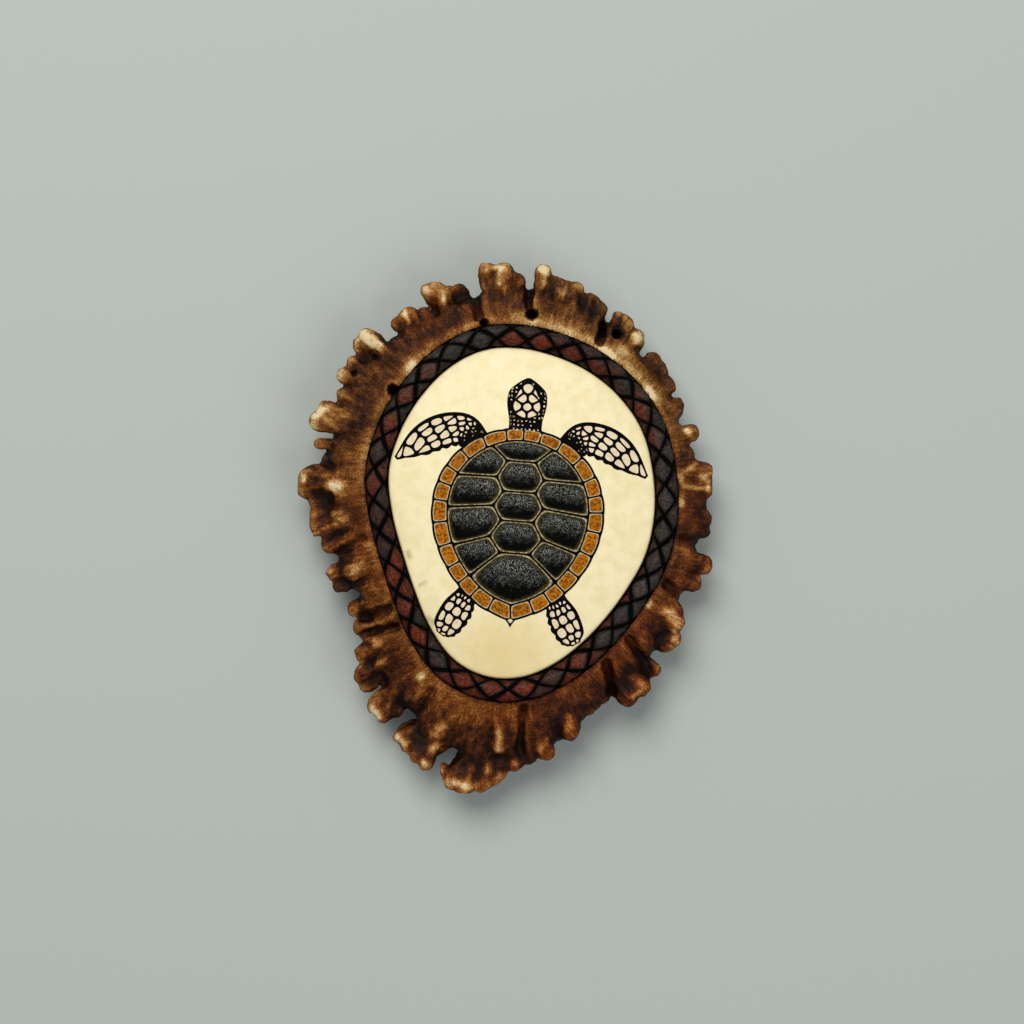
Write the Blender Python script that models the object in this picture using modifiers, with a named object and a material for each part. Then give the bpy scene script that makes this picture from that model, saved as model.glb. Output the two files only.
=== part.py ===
"""A slice of the burr of a shed antler, made into an ornament.

The slice has a knobby flange all round, a polished, slightly crowned, egg-shaped face in the
middle, and a round braided leather lace laid in a seat around that face. It lies on its sawn
back with the face up. The face's long axis runs along Y, and the origin is in the middle of
the back, under the middle of the face.
"""

import math

import bmesh
import bpy
import numpy as np
from mathutils import Matrix, Vector

# Driving dimensions, in metres
FACE_WIDTH = 0.0466  # polished face across X
FACE_LENGTH = 0.0572  # polished face along Y
FACE_CROWN = 0.0020  # middle of the face above its edge
FACE_STEP = 0.0026  # edge of the face above the floor of the lace's seat
SLICE_HEIGHT = 0.0130  # top of the flange, beside the lace, above the sawn back
SEAT_DEPTH = 0.0018  # floor of the lace's seat below the flange beside it
LACE_WIDTH = 0.0037
LACE_HEIGHT = 0.0037
LACE_RELIEF = 0.0004  # depth of the gaps between the strands
LACE_CLEARANCE = 0.0003  # between the lace and its seat
FLANGE_WIDTH = 0.0085  # how far a middling pearl reaches beyond the seat
RIM_HEIGHT = 0.0075  # middle of the flange's rim above the sawn back
RIM_THICKNESS = 0.0056
NECK_FLARE = 0.0024  # how far the flange's underside falls from the rim to the neck
PEARL_GIRTH = 0.0030  # thickness of a middling pearl
CHANNEL_WIDTH = 0.0014  # dark furrows that run out over the flange
CHANNEL_DEPTH = 0.0011
HOLE_BORE = 0.0016  # a middling blood-vessel hole
HOLE_DEPTH = 0.0045

# Proportions, as shares or exponents
CROWN_CURVE = 2.5  # higher keeps the face flat further out
CROWN_RINGS = (0.2, 0.6, 0.85, 0.97)  # of the way from the middle of the face to its edge
RIM_SQUARENESS = 5  # higher keeps the flange's full thickness further out
TOP_SLOPE_CURVE = 1.3
NECK_CURVE = 1.6
FLANGE_SECTIONS = (0, 0.12, 0.35, 0.6, 0.8, 0.92, 1)  # of the way from the seat to the valleys
PEARL_SECTIONS = ((0.12, 0.9, 0.6), (0.45, 0.75, 0.75), (0.75, 0.8, 0.85))  # way along, sunk depth, girth
PEARL_HEIGHT = 0.12  # of RIM_THICKNESS, the tips above the middle of the rim
KEEL_DROP = 0.42  # of RIM_THICKNESS, the keels under the tips
KEEL_REACH = 0.90  # of the pearl's reach
KEEL_VARIATION = 0.05  # by which that share comes and goes around the rim
KEEL_WAVES = 11  # turns of that change per turn of the rim
KEEL_ROOT = 0.5  # of the keel's reach
KEEL_GIRTHS = (0.7, 0.85)  # of the pearl's, at the root and the end
HOOK_ROOT_GIRTH = 1.2  # of the hook's girth
RIDGE_SINK = (0.55, 0.40)  # of the ridge's girth, at the inner and the outer end
RIDGE_GIRTHS = (0.35, 0.8, 0.9, 1.0)  # from the inner end outwards
RIDGE_TAIL = 0.6  # of the girth, how far the inner end runs on
ROUND_END_TURNS = (40, 65, 85)  # degrees through the quarter circle that ends a finger
HOLE_TAPER = (0.6, 1.1)  # of the bore, at the bottom and above the mouth
HOLE_LEAN = 0.15  # outwards for each unit of height
OVER_CURVE, DIVE_CURVE = 4, 2  # how squarely a strand ends at its sides and where it dives

# Counts and mesh sizes
SEAT_STATIONS = 96  # around the face and the seat
FLANGE_STATIONS = 144
LACE_CELLS = 32  # crossings of the braid along one of its columns
LACE_COLUMNS = 4
STEPS_PER_CELL = 4
STEPS_PER_COLUMN = 3
# How the lace is rolled in its seat, in degrees, every 30 degrees from +X
LACE_ROLLS = (21, 24, 35, 35, 14, -6, -30, -34, 8, 18, 10, 20)
SCULPT_STEP = 0.0007  # grid on which the flange and its pearls grow together
STOCK_TRIANGLES = 5540  # kept of the sculpted stock, before the face and the back are cut
WEAR_FACTOR, WEAR_ROUNDS = 0.5, 2  # how much the grown skin is smoothed
WELD = 0.00001

# What follows from them
SEAT_WIDTH = LACE_WIDTH + 2 * LACE_CLEARANCE
SEAT_FLOOR = SLICE_HEIGHT - SEAT_DEPTH
FACE_EDGE = SEAT_FLOOR + FACE_STEP
CLEAR_OF_ALL = FACE_EDGE + FACE_CROWN + SLICE_HEIGHT  # cutters end out here, in the open air
SPARE = 0.0015  # stock left where a cutter makes the final surface

# The face's outline, every 15 degrees from +X, as shares of an ellipse of its width and length
FACE_SHARES = (0.997, 1.020, 1.041, 1.028, 1.010, 1.002, 1.018, 1.045, 1.051, 1.046, 1.043, 1.030,
               0.967, 0.921, 0.925, 0.970, 1.018, 1.021, 0.991, 0.943, 0.905, 0.893, 0.912, 0.961)

# The valleys between the pearls, every 15 degrees from +X, as shares of FLANGE_WIDTH
VALLEY_SHARES = (0.50, 0.36, 0.34, 0.42, 0.60, 0.82, 0.80, 0.64, 0.66, 0.90, 0.91, 0.76,
                 0.88, 0.82, 0.60, 0.89, 0.95, 1.25, 1.12, 0.83, 0.69, 0.76, 0.64, 0.50)

# The pearls of the rim: angle in degrees, then reach, girth and lift of the tip above the rim's
# middle, as shares of FLANGE_WIDTH, PEARL_GIRTH and RIM_THICKNESS, then the root's angle from the tip
PEARLS = (
    (100.6, 1.33, 1.25, 0.15, -1), (97.4, 1.30, 1.25, 0.2, 0), (93.8, 1.06, 1.00, 0.0, 2),
    (86.6, 1.32, 0.95, 0.15, -1), (83, 1.15, 1.10, 0.0, 1), (79.4, 1.13, 0.80, 0.0, 0),
    (76.3, 1.15, 0.95, -0.1, 0), (71, 1.04, 0.80, 0.0, 1), (68.4, 0.98, 0.75, -0.1, 0),
    (66.3, 0.91, 0.60, 0.0, 1), (61.2, 0.95, 0.70, 0.0, -1), (58.3, 0.94, 0.90, 0.1, 0),
    (53.5, 0.83, 1.00, 0.2, 1), (46.2, 0.72, 0.85, 0.0, -1), (42.9, 0.70, 0.90, 0.0, 0),
    (40.2, 0.62, 0.85, 0.0, 0), (37.3, 0.63, 0.95, 0.0, 1), (32, 0.56, 1.10, 0.1, 0),
    (24.2, 0.60, 1.00, 0.1, 0), (18.9, 0.46, 0.75, 0.0, -1), (14.9, 0.61, 0.65, 0.0, 1),
    (12.8, 0.78, 0.95, 0.1, 1), (8.4, 0.75, 1.00, 0.0, 0), (4.4, 0.62, 0.85, 0.0, 0),
    (0.4, 0.73, 1.00, 0.0, 0), (357.3, 0.74, 1.00, -0.1, 0), (348.3, 0.92, 1.15, 0.0, -2),
    (342.8, 0.82, 1.05, -0.1, 1), (329.5, 0.92, 1.20, 0.2, 0), (334, 0.72, 0.70, 0.0, 0),
    (324.6, 1.05, 1.10, 0.0, 0), (321.3, 1.04, 1.10, 0.0, 1), (311.8, 1.13, 0.95, -0.1, -1),
    (305.2, 1.20, 1.35, 0.1, 1), (299.6, 1.18, 1.40, 0.1, 3), (292.6, 0.81, 1.10, 0.0, 0),
    (287.9, 0.83, 1.00, 0.0, 1), (278.8, 1.07, 1.35, 0.2, 0), (272.1, 1.32, 1.00, 0.1, -1),
    (268.1, 1.36, 0.95, -0.1, 0), (264.9, 1.46, 0.80, 0.0, 1), (261.8, 1.62, 0.80, -0.1, 0),
    (260.5, 1.77, 0.75, -0.1, 0), (258.8, 1.95, 1.05, 0.0, 1), (256.2, 2.02, 1.10, 0.0, 2),
    (253.7, 2.01, 0.95, 0.0, 4), (248.3, 1.81, 0.85, 0.1, 0), (246.3, 1.76, 0.80, 0.0, 0),
    (244.3, 1.69, 0.90, -0.1, 2), (242.1, 1.63, 0.75, -0.1, 6), (237.7, 1.56, 0.80, 0.0, -5),
    (235, 1.55, 0.75, 0.0, -2), (230.8, 1.43, 0.80, -0.1, -3), (227.6, 1.40, 1.00, 0.0, -1),
    (222.8, 1.18, 1.10, 0.1, 0), (218.9, 0.92, 0.80, 0.0, 1), (215.7, 1.00, 0.95, 0.0, 0),
    (208.7, 0.98, 0.90, -0.1, -1), (199.8, 1.11, 0.90, 0.0, 1), (194.3, 1.16, 1.05, 0.0, 0),
    (184.7, 1.11, 1.00, 0.0, -1), (181.1, 1.26, 0.45, 0.1, 0), (178.3, 1.26, 1.00, 0.0, 0),
    (175.2, 1.20, 0.85, 0.0, 0), (172.6, 1.22, 0.80, -0.1, 1), (169.7, 1.45, 0.90, 0.0, -1),
    (168.5, 1.40, 1.00, 0.1, 0), (167, 1.40, 0.95, 0.1, 1), (166, 1.19, 0.85, 0.0, 2),
    (163.6, 0.96, 0.60, -0.3, 0), (160.8, 1.16, 0.60, 0.0, -1), (156.3, 1.37, 1.05, 0.25, 0),
    (152.4, 1.28, 0.90, 0.1, 1), (147.9, 1.05, 1.00, 0.0, 0), (143.5, 1.23, 1.00, 0.1, -1),
    (139.8, 1.23, 0.90, 0.0, 1), (135.3, 1.34, 0.80, 0.0, -3), (132.3, 1.33, 1.10, 0.2, 0),
    (124.3, 1.03, 0.80, -0.1, -2), (121.2, 1.05, 1.00, 0.0, 0), (117.6, 0.87, 0.85, -0.1, 1),
    (114.4, 1.25, 0.70, 0.1, -3), (112.3, 1.23, 0.90, 0.2, 0), (109.8, 1.05, 0.75, 0.0, 2),
    (107, 1.02, 0.80, -0.2, 0), (103.7, 0.69, 0.50, -0.1, 0),
)

# Hooks that curl along the rim from the side of a pearl: angle and reach of the root, then of the
# tip, and girth
HOOKS = (
    (254.8, 1.65, 252.3, 1.69, 0.70), (252.5, 1.77, 251.5, 1.60, 0.55),
)

# Ridges and bosses on top of the flange: angle and reach of the inner end, then of the outer end,
# in degrees and shares of FLANGE_WIDTH, and girth as a share of PEARL_GIRTH
RIDGES = (
    (155.1, 0.71, 155.3, 0.99, 1.15), (169, 0.51, 169, 0.60, 1.05), (176.5, 0.47, 177, 0.90, 0.75),
    (195.6, 0.48, 195.7, 0.55, 1.50), (221.6, 0.62, 222, 0.72, 0.90), (227.1, 0.70, 227.7, 0.81, 0.85),
    (248.7, 0.72, 249.3, 1.26, 0.90), (261.2, 0.42, 261.5, 0.92, 0.90), (272, 0.59, 270.3, 1.05, 0.80),
    (281.2, 0.48, 280, 0.80, 1.15), (297.7, 0.32, 298.9, 0.79, 1.20), (309.7, 0.28, 305.3, 0.89, 1.20),
    (331, 0.36, 331.9, 0.56, 1.40), (80.7, 0.78, 80.7, 0.85, 1.05), (99, 0.81, 99.1, 1.09, 0.75),
    (11.6, 0.43, 10.5, 0.61, 0.80), (52.9, 0.49, 52.9, 0.63, 0.95), (120.8, 0.66, 120.8, 0.85, 0.80),
    (141.8, 0.78, 141.9, 0.97, 0.85), (131.6, 0.76, 131.6, 1.04, 0.85), (349.9, 0.30, 348.8, 0.63, 0.90),
    (30, 0.24, 30.4, 0.38, 0.75), (207.3, 0.39, 209.4, 0.71, 0.95), (238.1, 0.62, 238.2, 1.19, 0.90),
)

# Furrows between lobes: the same ends as a ridge, and depth as a share of CHANNEL_DEPTH
CHANNELS = (
    (213, 0.07, 213.4, 0.77, 1.0), (219.9, 0.09, 218, 0.84, 1.0), (268.8, 0.15, 266.4, 1.04, 0.8),
    (301.9, 0.16, 295.5, 0.78, 1.3), (314.5, 0.19, 310.7, 1.03, 1.0), (339.6, 0.11, 338.1, 0.50, 1.1),
    (62.3, 0.17, 63.7, 0.64, 1.2), (88.8, 0.37, 90.1, 0.78, 1.1), (104.7, 0.17, 104.2, 0.62, 0.9),
    (353.4, 0.12, 353.3, 0.49, 0.9), (185.6, 0.22, 187.6, 0.79, 0.6), (241.1, 0.33, 241.8, 1.08, 0.7),
)

# Blood-vessel holes: angle in degrees, reach as a share of FLANGE_WIDTH, then bore and depth as
# shares of HOLE_BORE and HOLE_DEPTH
HOLES = (
    (103.6, 0.05, 0.9, 1.0), (87.8, 0.23, 1.3, 1.0), (139.9, 0.05, 1.2, 1.0), (63.5, 0.45, 1.1, 0.6),
    (58.8, 0.48, 1.4, 0.5),
)


def around(shares, angle):
    """Reads a closed ring of equally spaced values at an angle, smoothly."""
    count = len(shares)
    place = (angle % 360) * count / 360
    first = int(place)
    t = place - first
    a, b, c, d = (shares[(first + k) % count] for k in (-1, 0, 1, 2))
    return b + 0.5 * t * (c - a + t * (2 * a - 5 * b + 4 * c - d + t * (3 * (b - c) + d - a)))


def face_outline(angle, share=1.0):
    turn = math.radians(angle)
    reach = share * around(FACE_SHARES, angle)
    return Vector((FACE_WIDTH / 2 * reach * math.cos(turn), FACE_LENGTH / 2 * reach * math.sin(turn)))


def beyond_face(angle, distance):
    """A point at a distance outside the face's outline, measured square to it."""
    along = face_outline(angle + 1) - face_outline(angle - 1)
    outward = Vector((along.y, -along.x)).normalized()
    return face_outline(angle) + distance * outward


def on_flange(angle, share, height):
    """A point over the flange, where share 0 is at the seat and 1 at FLANGE_WIDTH beyond it."""
    place = beyond_face(angle, SEAT_WIDTH + share * FLANGE_WIDTH)
    return Vector((place.x, place.y, height))


def valley(angle):
    return around(VALLEY_SHARES, angle)


def rounding(part):
    """Share of the rim's half thickness, from 1 at the seat (part 0) to 0 at the valleys (part 1)."""
    return math.sqrt(1 - min(part, 1) ** RIM_SQUARENESS)


def flange_top(part):
    slope = SLICE_HEIGHT - RIM_HEIGHT - RIM_THICKNESS / 2
    return RIM_HEIGHT + RIM_THICKNESS / 2 * rounding(part) + slope * (1 - min(part, 1)) ** TOP_SLOPE_CURVE


def flange_underside(part):
    return RIM_HEIGHT - RIM_THICKNESS / 2 * rounding(part) - NECK_FLARE * (1 - min(part, 1)) ** NECK_CURVE


def make_material(name, colour, roughness):
    material = bpy.data.materials.new(name)
    material.use_nodes = True
    shader = material.node_tree.nodes["Principled BSDF"]
    shader.inputs["Base Color"].default_value = (*colour, 1)
    shader.inputs["Roughness"].default_value = roughness
    shader.inputs["Metallic"].default_value = 0
    return material


def place_object(name, mesh, collection):
    item = bpy.data.objects.new(name, mesh)
    collection.objects.link(item)
    return item


def mesh_from(builder, name):
    mesh = bpy.data.meshes.new(name)
    builder.normal_update()
    builder.to_mesh(mesh)
    builder.free()
    return mesh


def skin_rings(builder, rings):
    """Joins rings of points, listed from the outside's lower end to its upper end."""
    rows = [[builder.verts.new(point) for point in ring] for ring in rings]
    for lower, upper in zip(rows, rows[1:]):
        for k in range(len(lower)):
            n = (k + 1) % len(lower)
            builder.faces.new((lower[k], lower[n], upper[n], upper[k]))
    builder.faces.new(rows[0][::-1])
    builder.faces.new(rows[-1])


def flange_stock():
    """The neck, the flange out to its valleys and the block that the face is cut from."""
    angles = [360 * k / FLANGE_STATIONS for k in range(FLANGE_STATIONS)]
    parts = FLANGE_SECTIONS
    rings = [[on_flange(a, 0, -SPARE) for a in angles]]
    rings += [[on_flange(a, p * valley(a), flange_underside(p)) for a in angles] for p in parts]
    rings += [[on_flange(a, p * valley(a), flange_top(p)) for a in angles] for p in parts[-2::-1]]
    block = -SEAT_WIDTH / 2 / FLANGE_WIDTH
    for height in (SLICE_HEIGHT, FACE_EDGE + FACE_CROWN + SPARE):
        rings.append([on_flange(a, block, height) for a in angles])
    builder = bmesh.new()
    skin_rings(builder, rings)
    return mesh_from(builder, "flange_stock")


def finger_curve(path, radii):
    """A round finger through the points, with a round end on the last one."""
    tip, before = path[-1], path[-2]
    ahead = (tip - before).normalized()
    girth = radii[-1]
    for turn in ROUND_END_TURNS:
        path = path + [tip + ahead * girth * math.sin(math.radians(turn))]
        radii = radii + [girth * math.cos(math.radians(turn))]
    curve = bpy.data.curves.new("finger", "CURVE")
    curve.dimensions = "3D"
    curve.bevel_depth = 1
    curve.bevel_resolution = 2
    curve.use_fill_caps = True
    spline = curve.splines.new("POLY")
    spline.points.add(len(path) - 1)
    for point, place, radius in zip(spline.points, path, radii):
        point.co = (*place, 1)
        point.radius = radius
    return curve


def pearl_curves(angle, reach, girth, lift, lean):
    """A pearl and the keel under it, which together make one rib of the rim."""
    radius = girth * PEARL_GIRTH / 2
    end = reach - radius / FLANGE_WIDTH
    tip_height = RIM_HEIGHT + (PEARL_HEIGHT + lift) * RIM_THICKNESS
    upper = []
    for share, sunk, _ in PEARL_SECTIONS:
        height = flange_top(share * end / valley(angle)) - sunk * radius
        upper.append(on_flange(angle + lean * (1 - share), share * end, max(height, tip_height)))
    upper.append(on_flange(angle, end, tip_height))
    keel_end = end * (KEEL_REACH + KEEL_VARIATION * math.sin(math.radians(KEEL_WAVES * angle)))
    root_angle = angle + (1 - KEEL_ROOT) * lean
    keel = [on_flange(root_angle, KEEL_ROOT * keel_end, flange_underside(KEEL_ROOT) + radius)]
    keel.append(on_flange(angle, keel_end, tip_height - KEEL_DROP * RIM_THICKNESS))
    return (finger_curve(upper, [girth * radius for _, _, girth in PEARL_SECTIONS] + [radius]),
            finger_curve(keel, [girth * radius for girth in KEEL_GIRTHS]))


def hook_curve(angle_root, share_root, angle_tip, share_tip, girth):
    """A short finger that turns aside along the rim."""
    radius = girth * PEARL_GIRTH / 2
    root = on_flange(angle_root, share_root, RIM_HEIGHT)
    tip = on_flange(angle_tip, share_tip, RIM_HEIGHT)
    return finger_curve([root, root.lerp(tip, 0.5), tip], [HOOK_ROOT_GIRTH * radius, radius, radius])


def ridge_curve(angle_in, share_in, angle_out, share_out, girth):
    """A ridge or a boss that stands out of the flange's top by half its girth."""
    radius = girth * PEARL_GIRTH / 2
    path = []
    for t in (0, 0.5, 1):
        angle = angle_in + t * (angle_out - angle_in)
        share = share_in + t * (share_out - share_in)
        height = flange_top(share / valley(angle)) - (RIDGE_SINK[0] * (1 - t) + RIDGE_SINK[1] * t) * radius
        path.append(on_flange(angle, share, height))
    inner_end = path[0] + (path[0] - path[1]).normalized() * RIDGE_TAIL * radius
    return finger_curve([inner_end] + path, [girth * radius for girth in RIDGE_GIRTHS])


def mesh_of_curve(curve):
    """The curve's tube as a closed mesh, with its caps welded on."""
    item = bpy.data.objects.new("finger", curve)
    bpy.context.scene.collection.objects.link(item)
    graph = bpy.context.evaluated_depsgraph_get()
    mesh = bpy.data.meshes.new_from_object(item.evaluated_get(graph))
    bpy.data.objects.remove(item)
    builder = bmesh.new()
    builder.from_mesh(mesh)
    bmesh.ops.remove_doubles(builder, verts=builder.verts, dist=WELD)
    builder.to_mesh(mesh)
    builder.free()
    return mesh


def joined(meshes, name):
    builder = bmesh.new()
    for mesh in meshes:
        builder.from_mesh(mesh)
    return mesh_from(builder, name)


def grown_together(stock, collection):
    """One skin around the stock and all its fingers, on a fine grid, then smoothed."""
    item = place_object("stock", stock, collection)
    remesh = item.modifiers.new("grow", "REMESH")
    remesh.mode = "VOXEL"
    remesh.voxel_size = SCULPT_STEP
    smooth = item.modifiers.new("wear", "SMOOTH")
    smooth.factor = WEAR_FACTOR
    smooth.iterations = WEAR_ROUNDS
    graph = bpy.context.evaluated_depsgraph_get()
    mesh = bpy.data.meshes.new_from_object(item.evaluated_get(graph))
    bpy.data.objects.remove(item)
    return mesh


def furrow(mesh, angle_in, share_in, angle_out, share_out, depth):
    """Presses a furrow into the top of the flange, from one point to another."""
    start = np.array(on_flange(angle_in, share_in, 0).xy)
    end = np.array(on_flange(angle_out, share_out, 0).xy)
    points = np.empty(len(mesh.vertices) * 3)
    mesh.vertices.foreach_get("co", points)
    points = points.reshape(-1, 3)
    run = end - start
    t = np.clip((points[:, :2] - start) @ run / (run @ run), 0, 1)
    away = np.linalg.norm(points[:, :2] - start - t[:, None] * run, axis=1) / CHANNEL_WIDTH
    on_top = np.clip((points[:, 2] - RIM_HEIGHT) / (RIM_THICKNESS / 2), 0, 1)
    points[:, 2] -= depth * CHANNEL_DEPTH * on_top * np.clip(1 - away ** 2, 0, 1) ** 2
    mesh.vertices.foreach_set("co", points.ravel())


def seat_cutter():
    """Everything above the finished face, the lace's seat and its two walls."""
    angles = [360 * k / SEAT_STATIONS for k in range(SEAT_STATIONS)]
    rings = []
    for share in CROWN_RINGS:
        height = FACE_EDGE + FACE_CROWN * (1 - share ** CROWN_CURVE)
        rings.append([(*face_outline(a, share), height) for a in angles])
    rings.append([(*face_outline(a), FACE_EDGE) for a in angles])
    rings.append([(*face_outline(a), SEAT_FLOOR) for a in angles])
    rings.append([(*beyond_face(a, SEAT_WIDTH), SEAT_FLOOR) for a in angles])
    rings.append([(*beyond_face(a, SEAT_WIDTH), CLEAR_OF_ALL) for a in angles])
    builder = bmesh.new()
    skin_rings(builder, rings)
    return mesh_from(builder, "seat_cutter")


def back_cutter():
    """A block under the slice, whose top is the sawn back."""
    builder = bmesh.new()
    bmesh.ops.create_cube(builder, size=1)
    reach = FACE_LENGTH + 4 * (SEAT_WIDTH + FLANGE_WIDTH)
    bmesh.ops.scale(builder, vec=(reach, reach, SLICE_HEIGHT), verts=builder.verts)
    bmesh.ops.translate(builder, vec=(0, 0, -SLICE_HEIGHT / 2), verts=builder.verts)
    return mesh_from(builder, "back_cutter")


def hole_cutter(angle, share, bore, depth, name):
    """A drill for a blood-vessel hole, leaning in under the seat as the vessels do."""
    builder = bmesh.new()
    radius = bore * HOLE_BORE / 2
    bmesh.ops.create_cone(builder, cap_ends=True, segments=10, radius1=HOLE_TAPER[0] * radius,
                          radius2=HOLE_TAPER[1] * radius, depth=2 * depth * HOLE_DEPTH)
    mesh = mesh_from(builder, name)
    height = flange_top(share / valley(angle))
    outward = on_flange(angle, 1, 0) - on_flange(angle, 0, 0)
    axis = Vector((0, 0, 1)) + HOLE_LEAN * outward.normalized()
    turned = axis.to_track_quat("Z", "Y").to_matrix().to_4x4()
    mesh.transform(turned)
    mesh.transform(Matrix.Translation(on_flange(angle, share, height)))
    return mesh


def lace_route():
    """Angles around the face, at equal steps along the middle of the lace."""
    fine = [beyond_face(0.25 * k, SEAT_WIDTH / 2) for k in range(1440)]
    lengths = [(b - a).length for a, b in zip(fine, fine[1:] + fine[:1])]
    travelled = np.concatenate(([0], np.cumsum(lengths)))
    stops = np.arange(LACE_CELLS * STEPS_PER_CELL) * travelled[-1] / (LACE_CELLS * STEPS_PER_CELL)
    return np.interp(stops, travelled, 0.25 * np.arange(1441))


def lace_relief(column, cell):
    """Depth under the strands' backs, from 0 on a strand to 1 in the zigzag gaps between them."""
    deepest = 1
    for number in (math.floor(column), math.floor(column) + 1):
        across = column - number
        along = 2 * ((cell + 0.5 * number + 0.5) % 1) - 1
        lean = 1 if number % 2 else -1
        over, dive = along - lean * across, along + lean * across
        if abs(over) <= 1 and abs(dive) <= 1:
            deepest = min(deepest, max(abs(over) ** OVER_CURVE, abs(dive) ** DIVE_CURVE))
    return deepest


def lace_mesh():
    """A closed tube with the woven relief of a four-strand round braid."""
    turns = LACE_COLUMNS * STEPS_PER_COLUMN
    centre_height = SEAT_FLOOR + LACE_CLEARANCE + LACE_HEIGHT / 2
    builder = bmesh.new()
    rows = []
    for step, angle in enumerate(lace_route()):
        row = []
        for k in range(turns):
            turn = 2 * math.pi * k / turns + math.radians(around(LACE_ROLLS, angle))
            depth = LACE_RELIEF * lace_relief(k / STEPS_PER_COLUMN, step / STEPS_PER_CELL)
            side = SEAT_WIDTH / 2 + (LACE_WIDTH / 2 - depth) * math.cos(turn)
            up = (LACE_HEIGHT / 2 - depth) * math.sin(turn)
            row.append(builder.verts.new((*beyond_face(angle, side), centre_height + up)))
        rows.append(row)
    for step, row in enumerate(rows):
        following = rows[(step + 1) % len(rows)]
        for k in range(turns):
            n = (k + 1) % turns
            builder.faces.new((row[k], row[n], following[n], following[k]))
    bmesh.ops.recalc_face_normals(builder, faces=builder.faces)
    return mesh_from(builder, "leather_braid")


def add_cut(item, cutter):
    cutter.hide_render = True
    cutter.display_type = "WIRE"
    cut = item.modifiers.new("cut_" + cutter.name, "BOOLEAN")
    cut.operation = "DIFFERENCE"
    cut.object = cutter


def make_burr(parts, cutters):
    curves = [curve for row in PEARLS for curve in pearl_curves(*row)]
    curves += [hook_curve(*row) for row in HOOKS]
    curves += [ridge_curve(*row) for row in RIDGES]
    stock = joined([flange_stock()] + [mesh_of_curve(curve) for curve in curves], "stock")
    skin = grown_together(stock, cutters)
    for row in CHANNELS:
        furrow(skin, *row)
    burr = place_object("antler_burr", skin, parts)
    thin = burr.modifiers.new("thin_out", "DECIMATE")
    thin.ratio = STOCK_TRIANGLES / (2 * len(skin.polygons))
    thin.use_collapse_triangulate = True
    add_cut(burr, place_object("seat_cutter", seat_cutter(), cutters))
    add_cut(burr, place_object("back_cutter", back_cutter(), cutters))
    for number, row in enumerate(HOLES):
        name = f"vessel_hole_{number + 1}"
        add_cut(burr, place_object(name, hole_cutter(*row, name), cutters))
    burr.data.materials.append(make_material("antler_bark", (0.20, 0.09, 0.035), 0.6))
    return burr


def make_lace(parts):
    lace = place_object("leather_braid", lace_mesh(), parts)
    lace.data.materials.append(make_material("braided_leather", (0.035, 0.015, 0.012), 0.4))
    return lace


def main():
    for item in list(bpy.data.objects):
        bpy.data.objects.remove(item, do_unlink=True)
    parts = bpy.data.collections.new("engraved_antler")
    cutters = bpy.data.collections.new("cutters")
    for collection in (parts, cutters):
        bpy.context.scene.collection.children.link(collection)
    make_burr(parts, cutters)
    make_lace(parts)


main()
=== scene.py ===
# %% [markdown]
# # An engraved antler, finished in Blender
#
# A stag sheds its antler with a knobby ring round the foot, called the burr. A maker saws a slice
# through it, polishes one side, inks a picture into it and lays a braided leather lace around the
# picture. The solid model of that slice is already built. This notebook loads it as a fixed frame
# and dresses it: bark, polished face, lace, ink and light.

# %% Load the solid model
import math
import random

import bpy
import numpy as np
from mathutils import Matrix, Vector, kdtree, noise


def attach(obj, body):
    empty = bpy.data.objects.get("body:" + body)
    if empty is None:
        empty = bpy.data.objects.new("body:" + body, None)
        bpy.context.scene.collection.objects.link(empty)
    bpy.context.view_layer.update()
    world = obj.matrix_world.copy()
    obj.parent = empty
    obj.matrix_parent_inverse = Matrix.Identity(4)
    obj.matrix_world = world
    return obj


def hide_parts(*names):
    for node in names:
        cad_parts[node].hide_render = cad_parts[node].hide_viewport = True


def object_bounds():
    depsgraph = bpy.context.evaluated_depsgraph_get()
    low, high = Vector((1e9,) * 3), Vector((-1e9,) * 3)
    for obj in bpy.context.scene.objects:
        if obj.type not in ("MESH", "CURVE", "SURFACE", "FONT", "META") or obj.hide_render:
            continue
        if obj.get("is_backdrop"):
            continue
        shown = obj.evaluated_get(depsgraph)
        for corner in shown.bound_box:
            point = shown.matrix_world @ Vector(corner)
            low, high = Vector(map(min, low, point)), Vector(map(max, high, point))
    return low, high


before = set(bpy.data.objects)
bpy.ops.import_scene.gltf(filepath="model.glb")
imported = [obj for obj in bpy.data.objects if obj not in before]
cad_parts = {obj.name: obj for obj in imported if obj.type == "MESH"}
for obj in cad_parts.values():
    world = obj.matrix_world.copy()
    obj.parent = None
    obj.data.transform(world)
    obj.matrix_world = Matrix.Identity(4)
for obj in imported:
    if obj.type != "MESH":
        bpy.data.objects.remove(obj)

CAD_LOW, CAD_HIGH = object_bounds()
MM = 0.001
print("solid model, mm:", [round(side / MM, 1) for side in CAD_HIGH - CAD_LOW])

# %% [markdown]
# ## Small helpers
#
# Operators act on whatever is selected, so each step first selects one thing. The points of a mesh
# are read and written as one array, which is how a long row of sculpting strokes becomes one sum.


# %% Helpers
def deselect():
    bpy.ops.object.select_all(action="DESELECT")


def choose(item):
    """Selects this object alone and makes it the active one."""
    deselect()
    item.select_set(True)
    bpy.context.view_layer.objects.active = item


def put_in_scene(item):
    bpy.context.scene.collection.objects.link(item)


def start_with(add, **settings):
    """Adds one simple mesh by its operator and returns it."""
    deselect()
    add(**settings)
    return bpy.context.object


def finish_with(item, kind, **settings):
    """Adds one modifier to the object and applies it."""
    choose(item)
    modifier = item.modifiers.new(kind.lower(), kind)
    for name, value in settings.items():
        setattr(modifier, name, value)
    bpy.ops.object.modifier_apply(modifier=modifier.name)


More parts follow.
